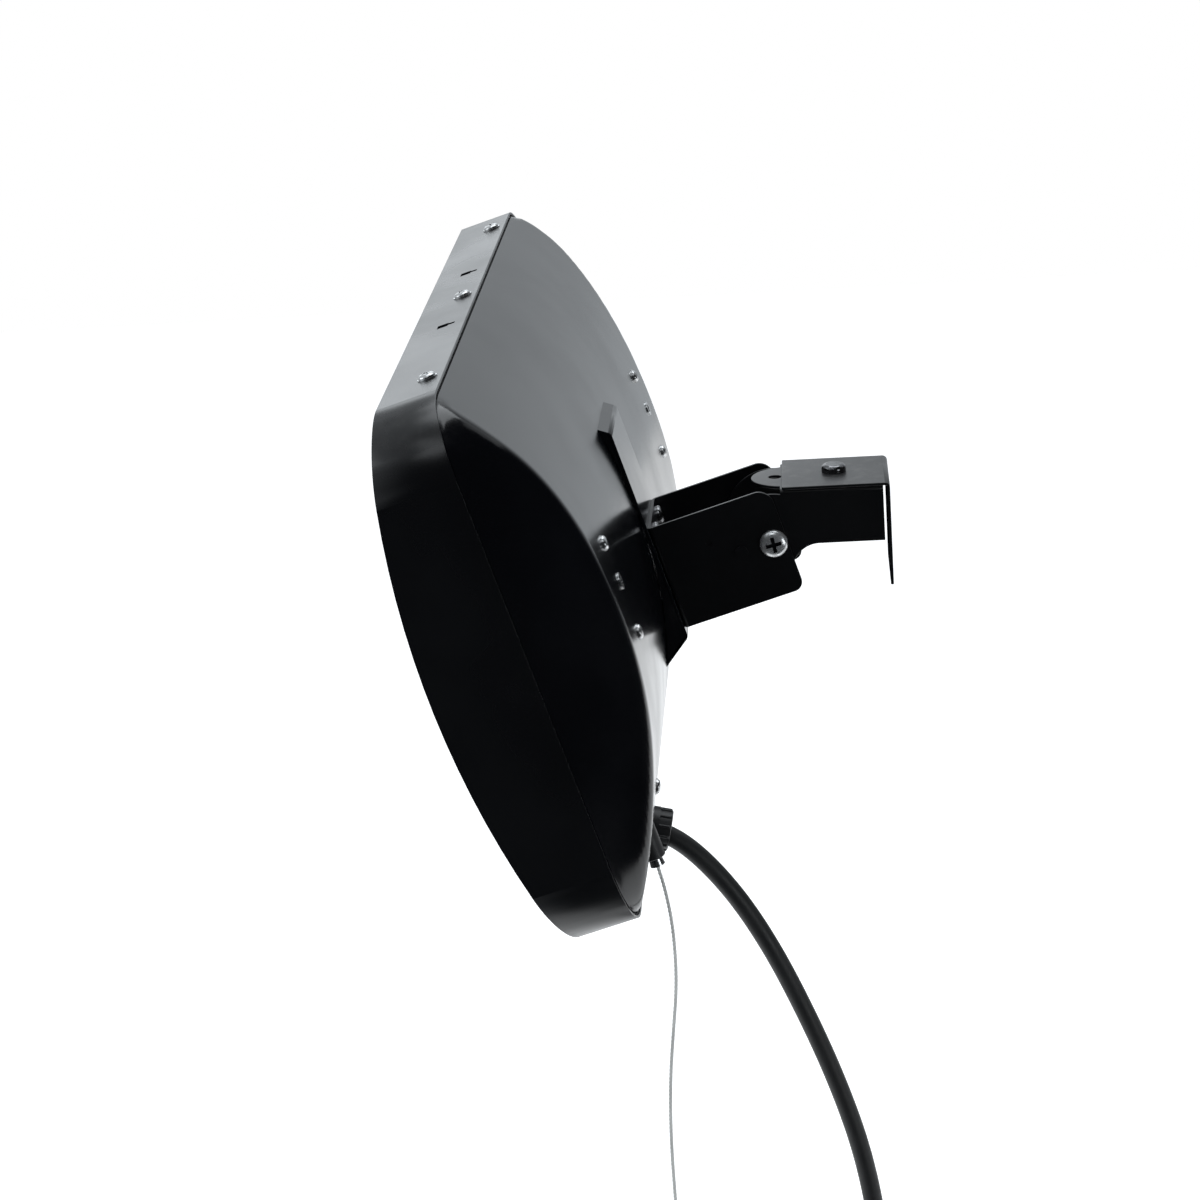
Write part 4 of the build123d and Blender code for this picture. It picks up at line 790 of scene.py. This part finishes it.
punches = bmesh.new()
add_slots(punches, SKIRT_CUT_HEIGHT, SKIRT_CUT_REACH)
for x in (-SHELL_SCREW_X, SHELL_SCREW_X):
    add_hole(punches, on_slope(x, RIVET_HEIGHT), RIVET_HOLE, HOLE_REACH)
add_hole(punches, on_slope(GLAND_X, GLAND_HEIGHT), GLAND_HOLE, HOLE_REACH)
add_hole(punches, HEAD_PLACE @ Matrix.Translation(COLLAR_PLACE), COLLAR_HOLE, COLLAR_REACH)
ready = cut_away(shell_pressing, punches)
ready.shade_smooth()
ready.set_sharp_from_angle(angle=math.radians(SHARP_SHELL_EDGE))
ready.materials.clear()
ready.materials.append(
    powder_coat("shell_powder", (0.0006, 0.0008, 0.0016), gloss=0.17, grain=1300, peel=0.000008, dust=0.03)
)
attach(shell_pressing, "head")
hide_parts("back_shell")

# The shell's fasteners: six zinc-plated M4 screws with pressed-on washers, the upper four into the
# heat shield's posts and the lower two into nuts, and two hollow rivets between them.
# the shell's screws are this much of the band's in size
SHELL_SCREW_SIZE = 0.82
# height on the head, and how far the recess is turned, in degrees
SHELL_SCREWS = ((0.0296, 15), (-0.0158, 52), (-0.09, 31))
flanged_screw = pan_screw(
    head_radius=0.0041, rise=0.0025, skirt=0.0009, shank=0.002, shank_length=0.0075,
    washer_radius=0.0047, washer=0.0005, recess_width=0.0009, recess_span=0.0044, recess_depth=0.0011,
)
shell_seats = [
    on_slope(side * SHELL_SCREW_X, height) @ Matrix.Rotation(math.radians(turn), 4, "Z")
    @ Matrix.Scale(SHELL_SCREW_SIZE, 4)
    for height, turn in SHELL_SCREWS for side in (-1, 1)
]
screw_set("shell_pan_screws", "head", flanged_screw, zinc, shell_seats, "shell_screws", "shell_washers")
for name in ("shell_nuts", "shell_rivets"):
    dress(name, zinc)

# The front band: 1.2 mm sheet rolled round the head, its front edge cut to a bow and turned in as
# a lip. Two slots show along its top, and three screws top and bottom hold it to the shell.
BAND_CUT_HEIGHT = 0.1305
BAND_CUT_REACH = 0.003
BAND_SCREW_FROM_SEAM = 0.0075
# place across the head, and how far the recess is turned, in degrees
BAND_SCREWS = ((-0.171, 20), (0.0, 65), (0.171, 38))
band = add_object("band", mesh_from("band", welded_copy("front_band")))
slots = bmesh.new()
add_slots(slots, BAND_CUT_HEIGHT, BAND_CUT_REACH)
cut_away(band, slots)
soften_edges(band, SHEET_EDGE)
band.data.materials.clear()
band.data.materials.append(
    powder_coat("band_powder", (0.0016, 0.0018, 0.0026), gloss=0.27, grain=1400, peel=0.000012, dust=0.04)
)
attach(band, "head")
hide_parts("front_band")
band_seats = [
    HEAD_PLACE @ Matrix.Translation((x, -BAND_SCREW_FROM_SEAM, side * HEAD_HEIGHT / 2))
    @ Matrix.Rotation(0 if side > 0 else math.pi, 4, "X") @ Matrix.Rotation(math.radians(turn), 4, "Z")
    for x, turn in BAND_SCREWS for side in (1, -1)
]
screw_set("band_pan_screws", "head", flanged_screw, zinc, band_seats, "band_screws")

# The reflector: a tray of 0.8 mm polished aluminium with three pressed troughs, one behind each
# lamp, and a rim turned back that the band's screws also hold. Faint rolling lines run across.
SMEAR_SCALE = 22.0
ROLLED_TONES = (0.35, 0.7)
ROLLED_GLOSS_DRIFT = (-0.04, 0.08)
rolling, roll_in, roll_out = effect(
    "rolling_lines", [("Across", 3000.0), ("Along", 12.0)], ["Height", "Tone"],
)
nodes, links = rolling.nodes, rolling.links
stretch = put(nodes, "ShaderNodeCombineXYZ")
for axis, scale in (("X", "Along"), ("Y", "Across"), ("Z", "Across")):
    links.new(roll_in.outputs[scale], stretch.inputs[axis])
stretched = put(nodes, "ShaderNodeVectorMath", operation="MULTIPLY")
links.new(put(nodes, "ShaderNodeTexCoord").outputs["Object"], stretched.inputs[0])
links.new(stretch.outputs[0], stretched.inputs[1])
lines = put(nodes, "ShaderNodeTexNoise", {"Scale": 1.0, "Detail": 3.0})
links.new(stretched.outputs[0], lines.inputs["Vector"])
links.new(lines.outputs["Fac"], roll_out.inputs["Height"])
links.new(cloud(rolling, SMEAR_SCALE, detail=4.0), roll_out.inputs["Tone"])


def rolled(name, bright, dull, gloss, across, along, depth):
    """Rolled or drawn bare metal, with fine lines along X."""
    material, nodes, links, shader = new_finish(name, {"Metallic": 1.0})
    skin = place(nodes, rolling, {"Across": across, "Along": along})
    links.new(drifting(nodes, links, skin["Tone"], ROLLED_TONES, bright, dull), shader.inputs["Base Color"])
    drift_gloss(nodes, links, shader, skin["Tone"], CLOUD_SPAN, around(gloss, ROLLED_GLOSS_DRIFT))
    raise_surface(nodes, links, shader, skin["Height"], depth)
    return material


polished = rolled(
    "polished_sheet", bright=(0.86, 0.86, 0.87), dull=(0.76, 0.76, 0.77), gloss=0.14,
    across=2200, along=9, depth=0.000006,
)
dress("reflector", polished)

# The lamps: three clear quartz tubes, each with a wound resistance wire inside and a ceramic cap
# pushed on both ends.
HAZE_SPAN = (0.4, 0.75)
HAZE_ROUGHNESS = (0.015, 0.07)
quartz, nodes, links, shader = new_finish(
    "clear_quartz", {"IOR": 1.46, "Transmission Weight": 1.0, "Roughness": 0.02},
)
haze = place(nodes, powder_peel, {"Grain": 60.0, "Drift": 30.0})
glass = drifting(nodes, links, haze["Patch"], CLOUD_SPAN, (0.99, 0.985, 0.975), (0.95, 0.94, 0.92))
links.new(glass, shader.inputs["Base Color"])
drift_gloss(nodes, links, shader, haze["Height"], HAZE_SPAN, HAZE_ROUGHNESS)
for name in ("lamp_bottom", "lamp_middle", "lamp_top"):
    dress(name, quartz)

LAMP_FORWARD = 0.0155
LAMP_PITCH = 0.072
LAMP_HALF = 0.2
WIND_RADIUS = 0.00165
WIND_PITCH = 0.0016
WIND_HALF = 0.17
WIND_POINTS = 9
WIRE_LEAD_IN = 0.003
WIRE_RADIUS = 0.0003
wound = bpy.data.curves.new("heating_wire", "CURVE")
wound.dimensions = "3D"
wound.bevel_depth = WIRE_RADIUS
wound.bevel_resolution = 1
turns = int(2 * WIND_HALF / WIND_PITCH)
for height in (-LAMP_PITCH, 0.0, LAMP_PITCH):
    straight = WIND_HALF + WIRE_LEAD_IN
    line = [(-LAMP_HALF, -LAMP_FORWARD, height), (-straight, -LAMP_FORWARD, height)]
    for k in range(turns * WIND_POINTS + 1):
        angle = 2 * math.pi * k / WIND_POINTS
        across = -WIND_HALF + WIND_PITCH * k / WIND_POINTS
        forward, up = WIND_RADIUS * math.cos(angle), WIND_RADIUS * math.sin(angle)
        line.append((across, -LAMP_FORWARD + forward, height + up))
    line += [(straight, -LAMP_FORWARD, height), (LAMP_HALF, -LAMP_FORWARD, height)]
    spline = wound.splines.new("POLY")
    spline.points.add(len(line) - 1)
    for control, spot in zip(spline.points, line):
        control.co = (*(HEAD_PLACE @ Vector(spot)), 1)
heating_wire = add_object("heating_wire", wound)
wound.materials.append(plated("oxidised_wire", bright=(0.2, 0.17, 0.15), dull=(0.11, 0.09, 0.08), gloss=0.5))
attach(heating_wire, "head")
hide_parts("heating_coils")

# The lamp caps and holders: unglazed steatite caps, and at each end a folded plate of galvanised
# sheet, its foot on the reflector, with a round seat for each cap.
CLAY_TONES = (0.35, 0.7)
CLAY_ROUGHNESS = (0.68, 0.85)
FLAKE_ROUGHNESS = (0.34, 0.52)
ceramic, nodes, links, shader = new_finish("steatite", {"Roughness": 0.75})
clay = place(nodes, powder_peel, {"Grain": 1800.0, "Drift": 120.0})
fired = drifting(nodes, links, clay["Patch"], CLAY_TONES, (0.8, 0.77, 0.7), (0.68, 0.65, 0.58))
links.new(fired, shader.inputs["Base Color"])
drift_gloss(nodes, links, shader, clay["Patch"], CLOUD_SPAN, CLAY_ROUGHNESS)
raise_surface(nodes, links, shader, clay["Height"], 0.00005)
dress("lamp_caps", ceramic)

spangle, spangle_in, spangle_out = effect("spangle", [("Flake", 130.0)], ["Height", "Tone"])
nodes, links = spangle.nodes, spangle.links
flakes = put(nodes, "ShaderNodeTexVoronoi", feature="F1")
links.new(put(nodes, "ShaderNodeTexCoord").outputs["Object"], flakes.inputs["Vector"])
links.new(spangle_in.outputs["Flake"], flakes.inputs["Scale"])
links.new(flakes.outputs["Distance"], spangle_out.inputs["Height"])
flake_tone = put(nodes, "ShaderNodeSeparateXYZ")
links.new(flakes.outputs["Color"], flake_tone.inputs[0])
links.new(flake_tone.outputs["X"], spangle_out.inputs["Tone"])
galvanised, nodes, links, shader = new_finish("galvanised_sheet", {"Metallic": 1.0})
skin = place(nodes, spangle, {"Flake": 150.0})
spangled = blend(nodes, links, skin["Tone"], (0.5, 0.52, 0.54), (0.68, 0.69, 0.7))
links.new(spangled, shader.inputs["Base Color"])
drift_gloss(nodes, links, shader, skin["Tone"], (0.0, 1.0), FLAKE_ROUGHNESS)
raise_surface(nodes, links, shader, skin["Height"], 0.00003)
dress("lamp_holders", galvanised)

# The front guard: 31 bowed upright wires and three level rods welded to a round-cornered rim,
# sprung in behind the band's lip. Bright nickel plate over drawn steel wire.
nickel = plated("bright_nickel", bright=(0.74, 0.73, 0.7), dull=(0.64, 0.63, 0.6), gloss=0.16, grain=900.0)
dress("front_guard", nickel)

# The heat shield and its posts: a flat galvanised sheet behind the lamps, held off the back shell
# by four threaded posts.
for name in ("heat_shield", "shield_spacers"):
    dress(name, galvanised)

# The terminal block: moulded melamine with three brass screws, where the lead's cores meet the
# heater's own wiring.
PLASTIC_IOR = 1.47
PLASTIC_PATCH = 60.0
PLASTIC_LIGHTER = 1.2
PLASTIC_GLOSS_DRIFT = (-0.04, 0.06)


def moulded(name, colour, gloss, grain, depth):
    """A moulded plastic or rubber part with a fine texture from its mould."""
    material, nodes, links, shader = new_finish(name, {"IOR": PLASTIC_IOR})
    skin = place(nodes, powder_peel, {"Grain": grain, "Drift": PLASTIC_PATCH})
    lighter = tuple(min(PLASTIC_LIGHTER * part, 1) for part in colour)
    links.new(drifting(nodes, links, skin["Patch"], CLOUD_SPAN, colour, lighter), shader.inputs["Base Color"])
    drift_gloss(nodes, links, shader, skin["Patch"], CLOUD_SPAN, around(gloss, PLASTIC_GLOSS_DRIFT))
    raise_surface(nodes, links, shader, skin["Height"], depth)
    return material


melamine = moulded("melamine", (0.72, 0.7, 0.62), gloss=0.45, grain=1400.0, depth=0.00002)
dress("terminal_block", melamine)
dress("terminal_screws", plated("brass", bright=(0.76, 0.6, 0.3), dull=(0.62, 0.47, 0.22), gloss=0.3))

# The wiring: silicone-sheathed leads from the terminals to the pull switch and to the bars that
# join the lamps' ends.
silicone = moulded("silicone_sheath", (0.42, 0.09, 0.06), gloss=0.55, grain=900.0, depth=0.00003)
dress("wiring", silicone)

# The cable gland: a black nylon body on the shell's lower slope, a ribbed cap that grips the lead,
# and a hexagon locknut inside.
black_nylon = moulded("black_nylon", (0.011, 0.011, 0.012), gloss=0.42, grain=2600.0, depth=0.00001)
for name in ("cable_gland", "gland_cap", "gland_locknut"):
    dress(name, black_nylon)

# The pull switch: a ratchet switch inside the shell, a nylon collar through the slope with a
# bell-mouthed metal bush at its end, and the plunger that the cord pulls.
for name in ("pull_switch", "pull_collar"):
    dress(name, black_nylon)
for name in ("pull_bell", "pull_plunger"):
    dress(name, zinc)

# The supply lead: round three-core rubber cable, 9.3 mm, that comes straight out of the gland
# and hangs to a tied coil of its spare length, with the plug hanging under the coil.
LEAD_DIAMETER = 0.0093
LEAD_ROUTE = (
    (0.148, -0.13893, -0.099), (0.148, -0.12136, -0.1029), (0.148, -0.1043, -0.1126),
    (0.148, -0.0845, -0.1365), (0.148, -0.0678, -0.1663), (0.148, -0.0528, -0.2016),
    (0.148, -0.0395, -0.238), (0.148, -0.0285, -0.277), (0.15, -0.0225, -0.318),
    (0.157, -0.021, -0.352), (0.166, -0.0214, -0.382),
)
LEAD_TAIL = (
    (0.17, -0.0126, -0.431), (0.169, -0.0155, -0.455), (0.1685, -0.019, -0.48),
    (0.1683, -0.0202, -0.488),
)
COIL_CENTRE = (0.1107, -0.408)
COIL_FRONT_Y = -0.02165
COIL_BACK_Y = -0.01235
# degrees wound on, and the turn's radius and layer there
COIL_STEPS = (
    (0, 0.0593, COIL_FRONT_Y), (270, 0.0593, COIL_FRONT_Y), (320, 0.05, COIL_FRONT_Y),
    (630, 0.05, COIL_FRONT_Y), (680, 0.0407, COIL_FRONT_Y), (990, 0.0407, COIL_FRONT_Y),
    (1040, 0.0407, COIL_BACK_Y), (1170, 0.0407, COIL_BACK_Y), (1220, 0.05, COIL_BACK_Y),
    (1450, 0.05, COIL_BACK_Y), (1500, 0.0593, COIL_BACK_Y), (1800, 0.0593, COIL_BACK_Y),
)
COIL_POINT_EVERY = 15
# how finely a cord is drawn, along it and round it
LEAD_STEPS = 10
ROUND_STEPS = 8
LEAD_CURVE_ORDER = 3


def coil_point(wound_on):
    """A control point of the winding, a little outside the turn, which the spline cuts."""
    for (start, first_radius, first_y), (end, last_radius, last_y) in zip(COIL_STEPS, COIL_STEPS[1:]):
        if wound_on <= end:
            share = eased((wound_on - start) / (end - start))
            radius = first_radius + (last_radius - first_radius) * share
            layer = first_y + (last_y - first_y) * share
            break
    reach = radius / math.cos(math.radians(COIL_POINT_EVERY / 2))
    angle = math.radians(-wound_on)
    return (COIL_CENTRE[0] + reach * math.cos(angle), layer, COIL_CENTRE[1] + reach * math.sin(angle))


def flexible_line(name, controls, diameter, steps=LEAD_STEPS, capped=True):
    """A round cord along one smooth spline, as an object."""
    line = bpy.data.curves.new(name, "CURVE")
    line.dimensions = "3D"
    line.resolution_u = steps
    line.bevel_depth = diameter / 2
    line.bevel_resolution = ROUND_STEPS
    line.use_fill_caps = capped
    spline = line.splines.new("NURBS")
    spline.points.add(len(controls) - 1)
    for control, spot in zip(spline.points, controls):
        control.co = (*spot, 1)
    spline.order_u = LEAD_CURVE_ORDER
    spline.use_endpoint_u = True
    return add_object(name, line)


winding = [coil_point(angle) for angle in range(0, COIL_STEPS[-1][0] + 1, COIL_POINT_EVERY)]
supply_lead = flexible_line("supply_lead", [*LEAD_ROUTE, *winding, *LEAD_TAIL], LEAD_DIAMETER)
supply_lead.data.materials.append(
    moulded("cord_rubber", (0.0085, 0.0085, 0.009), gloss=0.5, grain=1700.0, depth=0.00002)
)
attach(supply_lead, "head")
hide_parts("power_cord", "cord_coil", "cord_tail")

# The ties and the plug: two bands of black hook tape round the coil, and a moulded round plug
# with two nickel-plated pins.
hook_tape = moulded("hook_tape", (0.016, 0.016, 0.017), gloss=0.85, grain=700.0, depth=0.0002)
plug_rubber = moulded("plug_rubber", (0.012, 0.012, 0.013), gloss=0.4, grain=1500.0, depth=0.00003)
dress("coil_ties", hook_tape)
dress("plug", plug_rubber)
dress("plug_pins", plated("pin_nickel", bright=(0.72, 0.7, 0.65), dull=(0.6, 0.58, 0.54), gloss=0.2))

# The pull cord: three thin nylon strands twisted together, hanging from the bush to a small
# knob; a pull clicks the switch.
PULL_ROUTE = (
    (0.17, -0.1229, -0.09731), (0.17, -0.11719, -0.11647), (0.17, -0.1134, -0.139),
    (0.17, -0.1126, -0.16), (0.17, -0.1133, -0.178), (0.17, -0.116, -0.199),
    (0.17, -0.1189, -0.224), (0.17, -0.1204, -0.254), (0.17, -0.1202, -0.288),
    (0.17, -0.1196, -0.322), (0.17, -0.1199, -0.354), (0.17, -0.1204, -0.385),
)
ROUTE_STEPS = 24
PULL_DIAMETER = 0.0018
STRANDS = 3
STRAND_RADIUS = 0.00045
STRAND_STEP = 0.0005
STRAND_SIDES = 8
TWIST_PITCH = 0.0065
ACROSS = Vector((1, 0, 0))
route = flexible_line("pull_route", PULL_ROUTE, diameter=0, steps=ROUTE_STEPS, capped=False)
bpy.context.view_layer.update()
traced = bpy.data.meshes.new_from_object(route.evaluated_get(bpy.context.evaluated_depsgraph_get()))
centre = [vertex.co.copy() for vertex in traced.vertices]
bpy.data.objects.remove(route)
run = [0.0]
for before, after in zip(centre, centre[1:]):
    run.append(run[-1] + (after - before).length)


def along_pull(distance):
    """A point of the pull cord's centre line, and its direction, at a distance along it."""
    k = next((i for i in range(1, len(run) - 1) if distance < run[i]), len(run) - 1)
    before, after = centre[k - 1], centre[k]
    share = (distance - run[k - 1]) / (run[k] - run[k - 1])
    return before.lerp(after, share), (after - before).normalized()


def square_to(ahead, turn):
    """A direction square to the cord, turned round it from the heater's width."""
    return ACROSS * math.cos(turn) + ahead.cross(ACROSS).normalized() * math.sin(turn)


points, faces = [], []
rings = int(run[-1] / STRAND_STEP)
for strand in range(STRANDS):
    for k in range(rings + 1):
        distance = run[-1] * k / rings
        middle, ahead = along_pull(distance)
        turn = 2 * math.pi * (distance / TWIST_PITCH + strand / STRANDS)
        core = middle + (PULL_DIAMETER / 2 - STRAND_RADIUS) * square_to(ahead, turn)
        for n in range(STRAND_SIDES):
            points.append(core + STRAND_RADIUS * square_to(ahead, 2 * math.pi * n / STRAND_SIDES))
            if k < rings:
                here = len(points) - 1
                beside = here - n + (n + 1) % STRAND_SIDES
                faces.append((here, beside, beside + STRAND_SIDES, here + STRAND_SIDES))
    first = strand * (rings + 1) * STRAND_SIDES
    faces.append(tuple(first + n for n in range(STRAND_SIDES - 1, -1, -1)))
    faces.append(tuple(first + rings * STRAND_SIDES + n for n in range(STRAND_SIDES)))
string_mesh = bpy.data.meshes.new("pull_string")
string_mesh.from_pydata(points, [], faces)
string_mesh.shade_smooth()
string_mesh.materials.append(
    moulded("twisted_nylon", (0.6, 0.6, 0.58), gloss=0.6, grain=2400.0, depth=0.00006)
)
pull_string = add_object("pull_string", string_mesh)
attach(pull_string, "pull")
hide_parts("pull_cord")

# The knob: a small acorn-shaped moulding in pale plastic, drilled through and held by a knot in
# the end of the pull cord.
dress("pull_knob", moulded("knob_plastic", (0.72, 0.71, 0.67), gloss=0.32, grain=1200.0, depth=0.00002))

bpy.context.view_layer.update()
